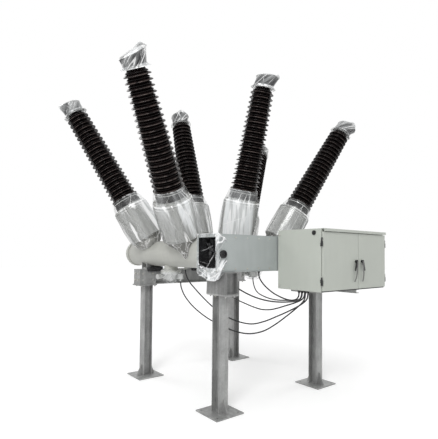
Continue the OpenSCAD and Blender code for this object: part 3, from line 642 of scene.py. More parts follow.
# Routes of the hanging cables, in metres, from where each leaves to its gland in the cabinet's floor.
ROUTES = {
    "left_port": [
        (-0.645, 0.210, 1.330), (-0.645, 0.200, 1.265), (-0.625, 0.155, 1.160), (-0.585, 0.055, 1.045),
        (-0.530, -0.075, 0.945), (-0.475, -0.215, 0.870), (-0.410, -0.375, 0.810), (-0.340, -0.545, 0.762),
        (-0.270, -0.715, 0.755), (-0.205, -0.880, 0.805), (-0.150, -1.010, 0.892), (-0.100, -1.132, 0.995),
        (-0.055, -1.250, 1.102), (-0.033, -1.317, 1.172), (-0.027, -1.337, 1.209), (-0.025, -1.345, 1.267),
    ],
    "left_tank": [
        (-0.625, 0.130, 1.485), (-0.622, 0.118, 1.421), (-0.600, 0.075, 1.332), (-0.560, -0.010, 1.238),
        (-0.510, -0.125, 1.129), (-0.455, -0.255, 1.025), (-0.390, -0.405, 0.936), (-0.320, -0.560, 0.882),
        (-0.245, -0.725, 0.868), (-0.180, -0.875, 0.914), (-0.120, -1.005, 0.980), (-0.065, -1.130, 1.048),
        (-0.021, -1.240, 1.115), (0.004, -1.305, 1.165), (0.016, -1.334, 1.204), (0.020, -1.345, 1.267),
    ],
    "middle_port": [
        (0.090, 0.210, 1.330), (0.090, 0.198, 1.270), (0.086, 0.140, 1.180), (0.080, 0.030, 1.110),
        (0.074, -0.110, 1.068), (0.067, -0.270, 1.038), (0.060, -0.430, 1.012), (0.052, -0.590, 1.000),
        (0.045, -0.740, 1.015), (0.038, -0.870, 1.048), (0.028, -0.985, 1.085), (0.016, -1.095, 1.120),
        (0.008, -1.190, 1.153), (0.010, -1.254, 1.184), (0.016, -1.287, 1.215), (0.020, -1.300, 1.267),
    ],
    "housing_left": [
        (-0.655, -0.790, 1.470), (-0.653, -0.796, 1.425), (-0.635, -0.808, 1.375), (-0.595, -0.836, 1.328),
        (-0.540, -0.876, 1.285), (-0.480, -0.920, 1.246), (-0.415, -0.968, 1.212), (-0.345, -1.020, 1.186),
        (-0.275, -1.072, 1.170), (-0.205, -1.125, 1.163), (-0.135, -1.185, 1.165), (-0.072, -1.248, 1.177),
        (-0.045, -1.279, 1.196), (-0.029, -1.296, 1.228), (-0.025, -1.300, 1.267),
    ],
    "right_port": [
        (0.645, 0.210, 1.330), (0.645, 0.203, 1.280), (0.630, 0.165, 1.215), (0.590, 0.085, 1.162),
        (0.530, -0.035, 1.130), (0.460, -0.180, 1.115), (0.385, -0.335, 1.108), (0.310, -0.490, 1.108),
        (0.240, -0.640, 1.114), (0.175, -0.785, 1.126), (0.120, -0.905, 1.140), (0.082, -1.010, 1.152),
        (0.054, -1.105, 1.163), (0.035, -1.190, 1.178), (0.026, -1.228, 1.197), (0.021, -1.250, 1.230),
        (0.020, -1.255, 1.267),
    ],
    "housing_middle": [
        (-0.130, -0.720, 1.470), (-0.129, -0.726, 1.418), (-0.121, -0.764, 1.358), (-0.108, -0.832, 1.297),
        (-0.092, -0.911, 1.246), (-0.080, -0.975, 1.217), (-0.067, -1.039, 1.195), (-0.056, -1.098, 1.181),
        (-0.046, -1.147, 1.176), (-0.038, -1.188, 1.180), (-0.030, -1.227, 1.197), (-0.026, -1.250, 1.230),
        (-0.025, -1.255, 1.267),
    ],
}


class BREAKER_OT_cables(bpy.types.Operator):
    """Hangs the control cables, each a round tube along its smooth route"""

    bl_idname = "breaker.cables"
    bl_label = "Cables"

    def execute(self, context):
        hardware = context.scene.breaker_hardware
        for name, route in ROUTES.items():
            path = smooth_path(route, 0.012)
            points, faces, uv = closed_tube(path, hardware.cable / 2, 14)
            cable = make_piece(f"cable.{name}", points, faces, "cable_sheath", uv=uv)
            soften(cable, 50.0)
            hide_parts(f"cable_{name}")
        return {"FINISHED"}


# ---------------------------------------------------------------- stage


class BREAKER_OT_stage(bpy.types.Operator):
    """Sets up the camera, pale floor, white surroundings and soft studio lights"""

    bl_idname = "breaker.stage"
    bl_label = "Stage"

    def execute(self, context):
        view = context.scene.breaker_view
        self.add_camera(context, view)
        self.add_surroundings(context, view)
        self.add_floor()
        low, high = np.array(cad_bounds)
        middle = (low + high) / 2
        reach = float(np.linalg.norm(high - low))
        self.add_light("key light", middle + reach * np.array([-1.15, -0.85, 0.95]), middle, 3.2, view.key_power)
        self.add_light("fill light", middle + reach * np.array([1.35, -0.25, 0.5]), middle, 3.0, view.fill_power)
        self.add_light("back light", middle + reach * np.array([-0.5, 1.2, 0.9]), middle, 3.0, view.fill_power)
        context.scene.view_settings.view_transform = "Standard"
        return {"FINISHED"}

    def add_camera(self, context, view):
        """Looks along (sin heading, cos heading) tilted by pitch, then rolled about that line."""
        sin_h, cos_h = math.sin(view.heading), math.cos(view.heading)
        forward = np.array([sin_h * math.cos(view.pitch), cos_h * math.cos(view.pitch), math.sin(view.pitch)])
        level = np.array([cos_h, -sin_h, 0.0])
        upright = np.cross(level, forward)
        right = level * math.cos(view.roll) + upright * math.sin(view.roll)
        up = upright * math.cos(view.roll) - level * math.sin(view.roll)
        data = bpy.data.cameras.new("camera")
        data.sensor_fit = "HORIZONTAL"
        data.sensor_width = 36.0
        data.lens = view.lens
        data.shift_y = view.rise
        camera = bpy.data.objects.new("camera", data)
        camera.matrix_world = pose_matrix(right, up, -forward, view.location)
        context.scene.collection.objects.link(camera)
        context.scene.camera = camera

    def add_surroundings(self, context, view):
        """White to the eye and in reflections, and dimmer as light."""
        f = Finish("surroundings", "worlds")
        rays = ("Is Camera Ray", "Is Glossy Ray", "Is Transmission Ray")
        eye, reflected, through = (f.node("ShaderNodeLightPath", {}, {}, ray) for ray in rays)
        seen = eye.at_least(reflected).at_least(through)
        strength = f.node("ShaderNodeMix", {}, {0: seen, 2: view.ambient, 3: 1.0})
        background = f.node("ShaderNodeBackground", {}, {"Color": (1.0, 1.0, 1.0, 1.0), "Strength": strength})
        context.scene.world = f.end_in("ShaderNodeOutputWorld", background)

    def add_floor(self):
        """A wide disc that is white to the eye except where the object shades it; its glow is weaker near the middle,
        which paints a soft shade round the object.
        """
        f = Finish("floor")
        across = f.node("ShaderNodeVectorMath", {"operation": "LENGTH"}, {0: f.place((1.0, 1.0, 0.0))}, "Value")
        # Glow for the eye, weaker within a few metres of the middle: painted shade round the object.
        glow = f.node("ShaderNodeLightPath", {}, {}, "Is Camera Ray") * (across.ramp(0.8, 5.0) * 0.18 + 0.23)
        pale = f.finish_with(
            Base_Color=(0.84, 0.84, 0.84), Roughness=0.9, Specular_IOR_Level=0.0,
            Emission_Color=(1.0, 1.0, 1.0), Emission_Strength=glow,
        )
        half = 40.0
        mesh = bpy.data.meshes.new("floor")
        corners = [(-half, -half), (half, -half), (half, half), (-half, half)]
        mesh.from_pydata([(x, y, -0.0005) for x, y in corners], [], [(0, 1, 2, 3)])
        mesh.materials.append(pale)
        floor = bpy.data.objects.new("floor", mesh)
        bpy.context.scene.collection.objects.link(floor)

    def add_light(self, name, place, target, size, power):
        """A square area light at a place, facing a target."""
        data = bpy.data.lights.new(name, "AREA")
        data.size = size
        data.energy = power
        light = bpy.data.objects.new(name, data)
        away = unit(np.asarray(place) - target)
        right = unit(np.cross((0.0, 0.0, 1.0), away))
        light.matrix_world = pose_matrix(right, np.cross(away, right), away, place)
        bpy.context.scene.collection.objects.link(light)


# ---------------------------------------------------------------- finishes on the frame


class BREAKER_OT_finishes(bpy.types.Operator):
    """Makes the finishes and gives each piece of the frame the one of its slot"""

    bl_idname = "breaker.finishes"
    bl_label = "Finishes"

    def execute(self, context):
        make_materials(context.scene.breaker_finish)
        for part in frame["record"]["subparts"]:
            node = frame["nodes"][part["node"]]
            node.data.materials.clear()
            # Pedestals take the darker copy of the zinc, partly duller steel and partly painted shade.
            dull = node.name.startswith("pedestal")
            node.data.materials.append(MATERIALS["dull_zinc" if dull else part["material_slot"]])
        return {"FINISHED"}


# ---------------------------------------------------------------- porcelains


def shed_profile(bushing, sheds):
    """Radius and place along the axis of a porcelain's outline, and how near each point is to a rim, where the paler
    glaze and painted highlight go.

    Each large shed, and the small one above it, is a sloping top and a flatter, hollow underside that
    meet in a round rim, on a core that narrows evenly to the top.
    """
    start, end, widest = bushing.porcelain
    node = f"porcelain_{bushing.name}"
    length = end - start
    narrow = bushing.radius_at(node, end - 0.08 * length, end - 0.02 * length)
    core_start = bushing.radius_at(node, start - 0.001, start + 0.002)
    reach = widest - core_start
    pitch = length / (sheds + 0.35)
    turn = np.linspace(-0.5 * math.pi, 0.5 * math.pi, 6)
    wider, thick = 0.010, 0.005
    radius, along, rim = [core_start + wider], [start], [0.0]
    for k in range(sheds):
        for lift, share in ((0.22, 1.0), (0.71, 0.45)):
            base = start + (k + lift) * pitch
            share_up = (base - start) / length
            core = core_start + (narrow - reach - core_start) * share_up + wider
            out = (reach - wider) * share
            under_r = core + out * np.array([0.0, 0.12, 0.45, 0.82])
            under_z = base + pitch * np.array([0.01, 0.02, -0.01, -0.045])
            nose_r = core + out - thick + thick * np.cos(turn)
            nose_z = base - pitch * 0.06 + thick + thick * np.sin(turn)
            over_r = core + out * np.array([0.82, 0.58, 0.33, 0.12, 0.0])
            over_z = base + pitch * np.array([0.17, 0.25, 0.32, 0.37, 0.4]) * (0.5 + 0.5 * share)
            radius += [*under_r, *nose_r, *over_r]
            along += [*under_z, *nose_z, *over_z]
            pale = float(share == 1.0)
            # Only the large sheds' noses get the pale rim, partly thin glaze and partly a painted highlight.
            rim += [0.0] * 6 + [pale * 0.4, pale, pale, pale * 0.5] + [0.0] * 5
    radius.append(narrow - reach)
    along.append(end)
    rim.append(0.0)
    return np.array(radius), np.array(along), np.array(rim)


class BREAKER_OT_porcelains(bpy.types.Operator):
    """Turns each porcelain as one glazed body with round shed rims"""

    bl_idname = "breaker.porcelains"
    bl_label = "Porcelains"

    def execute(self, context):
        hardware = context.scene.breaker_hardware
        segments = 72
        angle = turns(segments)
        for bushing in BUSHINGS:
            radius, along, rim = shed_profile(bushing, hardware.sheds)
            points = bushing.ring(along[:, None], radius[:, None], angle[None, :])
            rows = len(radius)
            faces = turned_faces(points).tolist()
            bottom, top = list(range(segments)), list(range((rows - 1) * segments, rows * segments))
            upright = faces[0][0] < faces[0][1]
            faces += [bottom[::-1], top] if upright else [bottom, top[::-1]]
            porcelain = make_piece(
                f"porcelain.{bushing.name}", points, faces, "brown_glaze", rim=np.repeat(rim, segments)
            )
            soften(porcelain, 60.0)
            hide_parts(f"porcelain_{bushing.name}")
        return {"FINISHED"}


# ---------------------------------------------------------------- wrapping


def wrap_piece(name, ring, rows, seed, columns, finish, wavelength, lengthwise, twist=0.0, marks=()):
    """Film turned about an axis: a profile of radii with crumpled folds.

    rows gives places along the axis, radii, slack, haze and line, and ring gives a point for a place, a radius
    and an angle. The radius at a point is the profile's plus the crumple height times the slack. The pattern's
    coordinates lie on a cylinder of the mean radius, and twist turns them, in radians for each metre along.
    """
    along, radius, slack, haze, line = rows
    angle = turns(columns)
    mean = float(np.mean(radius))
    u, v = np.meshgrid(angle * mean, np.r_[0.0, np.cumsum(np.hypot(np.diff(along), np.diff(radius)))])
    around = 2 * math.pi * mean
    height = crumple(u, v, around, wavelength, seed, 6, lengthwise)
    height += 0.3 * crumple(u, v, around, wavelength * 0.4, seed + 1, 6, lengthwise)
    swollen = radius[:, None] + height * slack[:, None]
    points = ring(along[:, None] + 0.2 * height * slack[:, None], swollen, angle[None, :])
    turned = u / mean + twist * v
    pattern = np.stack([mean * np.cos(turned) + seed * 0.7, mean * np.sin(turned), v], axis=-1)
    broken = 0.55 + 0.45 * np.sin(3.0 * angle + seed) * np.sin(5.0 * angle + 2.0 * seed)
    return make_piece(
        name, points, turned_faces(points), finish, slot="wrap_film", uv=np.stack([u, v], -1), pattern=pattern,
        crease=strokes(u, v, around, marks) + line[:, None] * broken, fold=np.repeat(haze[:, None], columns, 1),
    )


def random_marks(seed, count, around, low, high, lean, width, strength):
    """Marks spread round a piece, between two heights, each leaning by up to a length."""
    rng = np.random.default_rng(seed)
    starts = (np.arange(count) + rng.uniform(-0.4, 0.4, count)) * around / count
    lower = low + (high - low) * rng.uniform(0.0, 0.35, count)
    upper = high - (high - low) * rng.uniform(0.0, 0.35, count)
    ends = starts + rng.uniform(-lean, lean, count)
    strengths = rng.uniform(0.4, 1.0, count) * strength
    return np.column_stack([starts, lower, ends, upper, np.full(count, width), strengths])


def spaced(profile, spacing):
    """The columns of a profile of (place, radius, slack, ...) rows, at an even spacing along it."""
    profile = np.asarray(profile, float)
    steps = np.r_[0.0, np.cumsum(np.linalg.norm(np.diff(profile[:, :2], axis=0), axis=1))]
    at = np.linspace(0.0, steps[-1], max(4, int(steps[-1] / spacing)))
    return [np.interp(at, steps, column) for column in profile.T]


# The seed of the first terminal's bag. Each of the others takes the next one.
BAG_SEED = 343
# How each terminal's bag sits: the way its lid rises and by how much, the way its top leans and by how much,
# and the radius at its top.
BAGS = {
    "near_left": (-0.25, 0.036, -0.6, 0.010, 0.150),
    "near_middle": (-0.9, 0.006, -0.6, 0.036, 0.142),
    "near_right": (-2.2, 0.012, -0.5, 0.032, 0.142),
    "far_left": (2.4, 0.010, 2.0, 0.004, 0.136),
    "far_middle": (-2.4, 0.008, -1.5, 0.006, 0.138),
    "far_right": (1.1, 0.012, 0.8, 0.012, 0.142),
}


class BREAKER_OT_terminal_wraps(bpy.types.Operator):
    """Bags each terminal in dark protective film, tied under its flange, with a frill below and a clear lid"""

    bl_idname = "breaker.terminal_wraps"
    bl_label = "Terminal Wraps"

    def execute(self, context):
        wrap = context.scene.breaker_wrap
        for number, bushing in enumerate(BUSHINGS):
            base, _, widest = bushing.terminal
            flare = BAGS[bushing.name][4]
            slack = wrap.crumple
            ring = self.leaned(bushing, base)
            bag = [
                (base + 0.012, widest + 0.010, slack * 0.4, 1.0, 0.3),
                (base + 0.030, widest + 0.003, slack * 0.15, 1.0, 0.0),
                (base + 0.044, widest + 0.004, slack * 0.3, 1.0, 0.0),
                (base + 0.090, (widest + flare) / 2, slack * 0.35, 1.0, 0.0),
                (base + 0.138, flare, slack * 0.25, 1.0, 0.25),
                (base + 0.148, flare - 0.004, slack * 0.2, 0.8, 0.5),
            ]
            around = 2 * math.pi * (widest + flare) / 2
            wrap_piece(
                f"terminal_bag.{bushing.name}", ring, spaced(bag, 0.005), BAG_SEED + number, 128,
                "cap_film", 0.12, lengthwise=2.0, twist=-7.0,
                marks=random_marks(40 + number, 7, around, 0.01, 0.13, lean=0.06, width=0.0035, strength=0.8),
            )
            lid = [
                (base + 0.137, flare + 0.002, slack * 0.2, 0.5, 0.0),
                (base + 0.144, flare + 0.006, slack * 0.2, 1.0, 0.9),
                (base + 0.156, flare - 0.010, slack * 0.25, 1.0, 0.5),
                (base + 0.166, flare * 0.60, slack * 0.4, 1.0, 0.1),
                (base + 0.171, flare * 0.25, slack * 0.6, 1.0, 0.0),
                (base + 0.172, 0.004, 0.0, 1.0, 0.0),
            ]
            wrap_piece(
                f"terminal_lid.{bushing.name}", ring, spaced(lid, 0.005), 50 + number, 128,
                "lid_film", 0.10, lengthwise=1.0,
            )
            frill = [
                (base + 0.000, widest + 0.038, slack * 0.5, 0.8, 1.0),
                (base + 0.012, widest + 0.022, slack * 0.4, 1.0, 0.3),
                (base + 0.027, widest + 0.006, slack * 0.2, 1.0, 0.3),
                (base + 0.033, widest + 0.007, slack * 0.2, 1.0, 0.0),
            ]
            wrap_piece(
                f"terminal_frill.{bushing.name}", ring, spaced(frill, 0.005), 60 + number, 128,
                "lid_film", 0.06, lengthwise=1.0,
            )
        return {"FINISHED"}

    def leaned(self, bushing, base):
        """Rings round the axis whose upper part leans and whose lid rises to one side, with a peak at its edge.

        Both grow with the height over the tie; the peak is a bell curve of the angle and the radius.
        """
        rise_way, slant, lean_way, lean, flare = BAGS[bushing.name]
        tie, tall = 0.035, 0.11

        def ring(along, radius, angle):
            up = np.clip((along - base - tie) / tall, 0.0, 1.3)
            turned = np.angle(np.exp(1j * (angle - rise_way - 0.5)))
            peak = 0.040 * np.exp(-((turned / 0.42) ** 2)) * np.exp(-(((radius - flare * 0.85) / 0.035) ** 2))
            rise = up * slant * np.cos(angle - rise_way) * np.minimum(radius / flare, 1.1)
            lifted = along + rise + peak * (up > 1.0)
            x = radius * np.cos(angle) + up * lean * math.cos(lean_way)
            y = radius * np.sin(angle) + up * lean * math.sin(lean_way)
            return bushing.ring(lifted, np.hypot(x, y), np.arctan2(y, x))

        return ring


# How far from a tank's axis film lies on it.
TANK_FILM_RADIUS = 0.178
# The loose corners of film: the way they face, half their angle, their length and their haze.
FLAPS = {"near_left": (-2.05, 0.88, 0.195, 1.2), "far_left": (-1.4, 0.45, 0.085, 1.0)}


class BREAKER_OT_drum_wraps(bpy.types.Operator):
    """Wraps each transformer housing in clear film, tented up to the porcelain and tied in at the neck"""

    bl_idname = "breaker.drum_wraps"
    bl_label = "Drum Wraps"

    def execute(self, context):
        wrap = context.scene.breaker_wrap
        for number, bushing in enumerate(BUSHINGS):
            start, _, widest = bushing.drum
            lower, _, shed = bushing.porcelain
            drum_end = bushing.drum_end
            air = wrap.stand_off
            slack = wrap.crumple
            profile = [
                (start - 0.050, widest - 0.075, slack * 1.0, 1.0, 0.2),
                (start - 0.016, widest - 0.014, slack * 0.6, 0.9, 0.1),
                (start - 0.002, widest + air, slack * 0.15, 0.8, 0.5),
                (start + 0.010, widest + air * 1.2, slack * 0.2, 0.8, 0.0),
                (start + 0.030, widest + air * 1.5, slack * 0.4, 0.9, 0.0),
                (start + 0.200, widest + air * 2.2, slack * 0.7, 0.9, 0.0),
                (drum_end - 0.044, widest + air * 1.6, slack * 0.4, 0.9, 0.0),
                (drum_end - 0.034, widest + air * 1.6, slack * 0.3, 0.9, 0.75),
                (drum_end - 0.024, widest + air * 1.5, slack * 0.3, 0.8, 0.0),
                (drum_end - 0.010, widest + air * 1.2, slack * 0.15, 0.8, 0.0),
                (drum_end - 0.001, widest + air, slack * 0.12, 1.1, 1.0),
                (drum_end + 0.012, widest - 0.004, slack * 0.25, 0.5, 0.1),
                (drum_end + 0.060, widest * 0.62 + shed * 0.38, slack * 0.9, 0.30, 0.0),
                (lower - 0.006, shed + 0.004, slack * 0.6, 0.35, 0.0),
                (lower + 0.010, shed - 0.008, slack * 0.2, 0.6, 0.4),
            ]
            rows = spaced(profile, 0.0075)
            around = 2 * math.pi * float(np.mean(rows[1]))
            wall = drum_end - start + 0.06
            tent = float(np.sum(np.hypot(np.diff(rows[0]), np.diff(rows[1]))))
            marks = np.vstack([
                random_marks(70 + number, 7, around, 0.05, wall, lean=0.34, width=0.0032, strength=0.8),
                random_marks(
                    170 + number, 14, around, wall - 0.01, tent + 0.01, lean=0.17, width=0.0042, strength=1.0
                ),
            ])
            wrap_piece(
                f"drum_wrap.{bushing.name}", bushing.ring, rows, 70 + number, 256,
                "drum_film", 0.22, lengthwise=6.0, twist=0.5, marks=marks,
            )
            self.shaded_collar(bushing)
            self.skirt(bushing, start, widest, number, slack)
            if bushing.name in FLAPS:
                self.flap(bushing, start, widest, number)
        return {"FINISHED"}

    def shaded_collar(self, bushing):
        """A dark band over the collar under the porcelain, painted shade inside the film's tent: a turned shell just
        outside the plain one.
        """
        along_axis, radii = bushing.corners(f"ct_{bushing.name}")
        above = along_axis > bushing.drum_end + 0.001
        inner, outer = float(radii[above].min()), float(radii[above].max())
        stations = np.unique(np.round(along_axis[above], 4))
        low, waist_low, waist_high, top = stations[0], stations[1], stations[-2], stations[-1]
        skin = 0.0015
        profile = np.array([
            (low, outer + skin), (low + 0.6 * (waist_low - low), outer + skin), (waist_low, inner + 0.008),
            (waist_low + 0.008, inner + skin), (waist_high - 0.008, inner + skin), (waist_high, inner + 0.008),
            (waist_high + 0.3 * (top - waist_high), outer + skin), (top - 0.002, outer + skin),
        ])
        points = bushing.ring(profile[:, :1], profile[:, 1:], turns(96)[None, :])
        # Black here stands for the shade under the porcelain's lowest shed.
        soften(make_piece(f"collar.{bushing.name}", points, turned_faces(points), "black_fittings"), 40.0)

    def skirt(self, bushing, start, widest, number, slack):
        """Film drawn in under the housing: a cone from its lower rim to the neck, in broad flat folds, coloured dark
        as painted shade under the housing.
        """
        profile = [
            (start - 0.004, widest - 0.006, 0.0, 1.0, 0.2),
            (start - 0.020, widest - 0.035, slack * 1.2, 1.0, 0.0),
            (start - 0.075, 0.168, slack * 1.8, 1.0, 0.0),
            (start - 0.125, 0.140, slack * 0.8, 1.0, 0.4),
        ]
        rows = spaced(profile, 0.008)
        around = 2 * math.pi * float(np.mean(rows[1]))
        marks = random_marks(130 + number, 7, around, 0.0, 0.15, lean=0.15, width=0.003, strength=0.7)
        wrap_piece(
            f"drum_skirt.{bushing.name}", bushing.ring, rows, 130 + number, 128,
            "skirt_film", 0.20, lengthwise=2.0, twist=5.0, marks=marks,
        )

    def flap(self, bushing, start, widest, number):
        """A loose corner of the film, hanging to a point from the rim and lying on the tank, coloured near black as
        painted shade under the housing.

        With u across from -1 to 1 and v down from 0 to 1, a point hangs length * v * (1 - |u|) under the rim,
        and is pushed out from the tank's axis to its radius where it would be inside.
        """
        way, half_width, length, haze = FLAPS[bushing.name]
        rows, columns = 31, 61
        across, down = np.meshgrid(np.linspace(-1.0, 1.0, columns), np.linspace(0.0, 1.0, rows))
        drop = (length * (1.0 - np.abs(across)) + 0.006) * down
        radius = widest + 0.006 + 0.010 * np.sin(5.0 * across) * down
        points = bushing.ring(start + 0.004, radius, way + half_width * across * (1.0 - 0.3 * down))
        points[..., 2] -= drop
        middle = node_middle(f"end_cover_{bushing.side}")[0]
        off_x, off_z = points[..., 0] - middle[0], points[..., 2] - middle[2]
        reach = np.hypot(off_x, off_z)
        push = np.maximum(1.0, TANK_FILM_RADIUS / np.maximum(reach, 0.01))
        points[..., 0] = middle[0] + off_x * push
        points[..., 2] = middle[2] + off_z * push
        u, v = across * half_width * widest, drop
        edge = 0.7 * np.exp(-(((1.0 - down) * length * (1.0 - np.abs(across)) / 0.005) ** 2))
        fold = np.exp(-(((across - 0.25 * down) / 0.03) ** 2)) * 0.4
        make_piece(
            f"drum_flap.{bushing.name}", points, face_outwards(grid_faces(rows, columns), points, middle),
            "shade_film", slot="wrap_film", uv=np.stack([u, v], -1),
            pattern=np.stack([u + number, v, np.zeros_like(u)], -1), crease=edge + fold,
            fold=np.full(u.shape, haze),
        )


class BREAKER_OT_port_wraps(bpy.types.Operator):
    """Bags the gas port under each tank, gathered at the bottom"""

    bl_idname = "breaker.port_wraps"
    bl_label = "Port Wraps"

    def execute(self, context):
        wrap = context.scene.breaker_wrap
        for number, side in enumerate(SIDES):
            rim = node_points(f"gas_port_{side}")
            rim = rim[rim[:, 2] > rim[:, 2].max() - 0.001]
            centre = (rim.min(0) + rim.max(0)) / 2
            flange, top = float(np.ptp(rim[:, 0]) / 2), float(centre[2])
            slack = wrap.crumple

            def ring(along, radius, angle, centre=centre):
                x, y = centre[0] + radius * np.cos(angle), centre[1] + radius * np.sin(angle)
                return np.stack(np.broadcast_arrays(x, y, along), axis=-1)

            profile = [
                (top + 0.044, flange * 0.78, slack * 0.4, 0.6, 0.3),
                (top + 0.026, flange + 0.006, slack * 0.3, 0.5, 0.0),
                (top - 0.022, flange + 0.012, slack * 0.5, 0.4, 0.5),
                (top - 0.070, flange * 0.99, slack * 0.8, 0.5, 0.0),
                (top - 0.110, flange * 0.86, slack * 1.0, 0.6, 0.0),
                (top - 0.140, flange * 0.55, slack * 1.2, 0.8, 0.3),
                (top - 0.146, flange * 0.16, slack * 0.6, 1.0, 0.3),
            ]
            around = 2 * math.pi * flange
            marks = random_marks(90 + number, 8, around, 0.02, 0.22, lean=0.12, width=0.0035, strength=0.8)
            wrap_piece(
                f"port_wrap.{side}", ring, spaced(profile, 0.007), 90 + number, 120,
                "wrap_film", 0.10, lengthwise=1.5, twist=2.0, marks=marks,
            )
        return {"FINISHED"}


# How far the film reaches along the housing's front, and the width of its turn at the corner.
FRONT_RUN = 0.235
CORNER_TURN = 0.014
# Depths below the housing's top edge, and how far the hazy film reaches along the front at each.
HAZY_DEPTHS = (0.0, 0.065, 0.13, 0.19, 0.26, 0.31, 0.35, 0.42)
HAZY_REACH = (0.02, 0.13, 0.07, 0.03, 0.035, 0.06, 0.15, 0.1)


class BREAKER_OT_housing_wrap(bpy.types.Operator):
    """Drapes film over the linkage housing's open end, with a pouch that hangs below it"""

    bl_idname = "breaker.housing_wrap"
    bl_label = "Housing Wrap"

    def execute(self, context):
        wrap = context.scene.breaker_wrap
        low, high = node_box("linkage_housing")
        self.recess_shade(low, high)
        rows, columns = 92, 120
        run, grid, below = self.hung(low, high, wrap.stand_off, rows, columns)
        depth, tall = (high[1] - 0.004) - (low[1] - wrap.stand_off), float(high[2] - low[2])
        u, v = np.meshgrid(run, np.linspace(0.0, tall + 0.1, rows))
        height = crumple(u, v, 1.9, 0.12, 7, 8, 1.3) + 0.4 * crumple(u, v, 1.9, 0.045, 8, 7, 1.0)
        normal = normals_of(grid)
        outward = np.where(normal[..., :1] * -0.7 + normal[..., 1:2] * -0.7 < 0, -1.0, 1.0)
        loose = wrap.crumple * (0.45 + 0.9 * below)
        points = grid + normal * outward * (np.maximum(height, -0.5) * loose)[..., None]
        hem = 0.8 * np.exp(-(((v - v.max()) / 0.006) ** 2))
        swirl = 0.6
        film = make_piece(
            "housing_wrap", points, grid_faces(rows, columns), "wrap_film", uv=np.stack([u, v], -1),
            pattern=np.stack([u + swirl * v, np.zeros_like(u), v - swirl * u], axis=-1),
            crease=strokes(u, v, 0.0, self.marks(depth, tall)) + hem, fold=self.haze(u, v, depth, tall, below),
        )
        return {"FINISHED"}

    def hung(self, low, high, air, rows, columns):
        """The film's run from its rear edge, its surface, and how far each point hangs below the housing.

        The run follows the open end, then the front. The lower edge sags by half a sine under the end and
        rises along the front, and the front edge is ragged by the sum of two sines of the height.
        """
        rear, front, end = high[1] - 0.004, low[1] - air, low[0] - air
        depth = rear - front
        u, t = np.linspace(0.0, 1.0, columns), np.linspace(0.0, 1.0, rows)[:, None]
        s = u * (depth + FRONT_RUN)
        corner = np.exp(-(((s - depth) / CORNER_TURN) ** 2)) * CORNER_TURN * 0.3
        x = np.where(s < depth, end, end + (s - depth)) + corner
        y = np.where(s < depth, rear - s, front) + corner
        edge = np.clip((s - depth) / FRONT_RUN, 0.0, 1.0)
        top = high[2] + air - edge * (0.03 + 0.05 * np.sin(edge * 9.0) ** 2)
        swing = np.sin(np.clip(s / (depth + 0.12), 0.0, 1.0) * math.pi)
        bottom = low[2] - 0.012 - 0.088 * swing + 0.085 * edge**1.5
        z = top + (bottom - top) * t
        below = np.clip((low[2] + 0.02 - z) / 0.09, 0.0, 1.0)
        ragged = 0.030 * np.sin(t * 17.0) + 0.022 * np.sin(t * 41.0 + 1.0)
        x = x + below * (0.045 * np.sin(u * math.pi)) * (1 - edge) + edge**2 * ragged
        y = y + below * 0.03 * np.sin(u * 2.2)
        return s, np.stack(np.broadcast_arrays(x, y, z), axis=-1), below

    def haze(self, u, v, depth, tall, below):
        """Thick film on the opening's border and where it hangs, thin film over the opening and the front.

        u is the place along the film's run and v the depth below the housing's top edge.
        """
        border = np.minimum(np.minimum(u, depth - u), np.minimum(v, tall - v)) - 0.032
        over_opening = np.clip(border / 0.012, 0.0, 1.0)
        on_front = np.clip((u - depth) / 0.01, 0.0, 1.0)
        hazy = np.clip((np.interp(v, HAZY_DEPTHS, HAZY_REACH) - u + depth) / 0.012, 0.0, 1.0)
        end_haze = 1.5 - 1.43 * over_opening + 1.2 * below
        front_haze = 0.12 + 1.5 * hazy + below * 0.6
        return np.clip(end_haze * (1.0 - on_front) + on_front * front_haze, 0.0, 1.8)

    def marks(self, d, tall):
        """Creases as strokes takes them: over the opening, on the front, in the pouch and along the edges."""
        return [
            (0.05, 0.213, 0.31, 0.128, 0.0035, 0.8), (0.18, 0.37, 0.335, 0.205, 0.0052, 1.0),
            (0.04, 0.337, 0.21, 0.316, 0.0035, 0.7), (0.10, 0.05, 0.22, 0.13, 0.0030, 0.4),
            (0.20, 0.14, 0.34, 0.04, 0.0030, 0.45), (0.06, 0.28, 0.16, 0.25, 0.0025, 0.35),
            (d, 0.0, d + 0.13, 0.065, 0.005, 1.0), (d + 0.13, 0.065, d + 0.01, 0.19, 0.004, 0.8),
            (d + 0.10, 0.06, d + 0.02, 0.10, 0.004, 0.6), (d + 0.05, 0.24, d + 0.005, 0.34, 0.005, 0.9),
            (0.2, tall + 0.07, d + 0.03, tall + 0.025, 0.007, 1.0),
            (d + 0.03, tall + 0.025, d + 0.08, tall - 0.03, 0.008, 1.0),
            (d + 0.08, tall - 0.03, d + 0.15, tall - 0.05, 0.007, 0.9),
            (0.0, tall + 0.02, 0.2, tall + 0.07, 0.005, 0.9), (0.05, tall + 0.03, 0.28, tall + 0.015, 0.004, 0.6),
            (0.0, 0.0, d, 0.0, 0.006, 0.8), (0.0, 0.0, 0.0, tall, 0.006, 0.8), (0.0, tall, d, tall, 0.005, 0.8),
            (d, 0.0, d, tall, 0.004, 0.8), (0.345, 0.03, 0.345, 0.37, 0.004, 0.8),
        ]

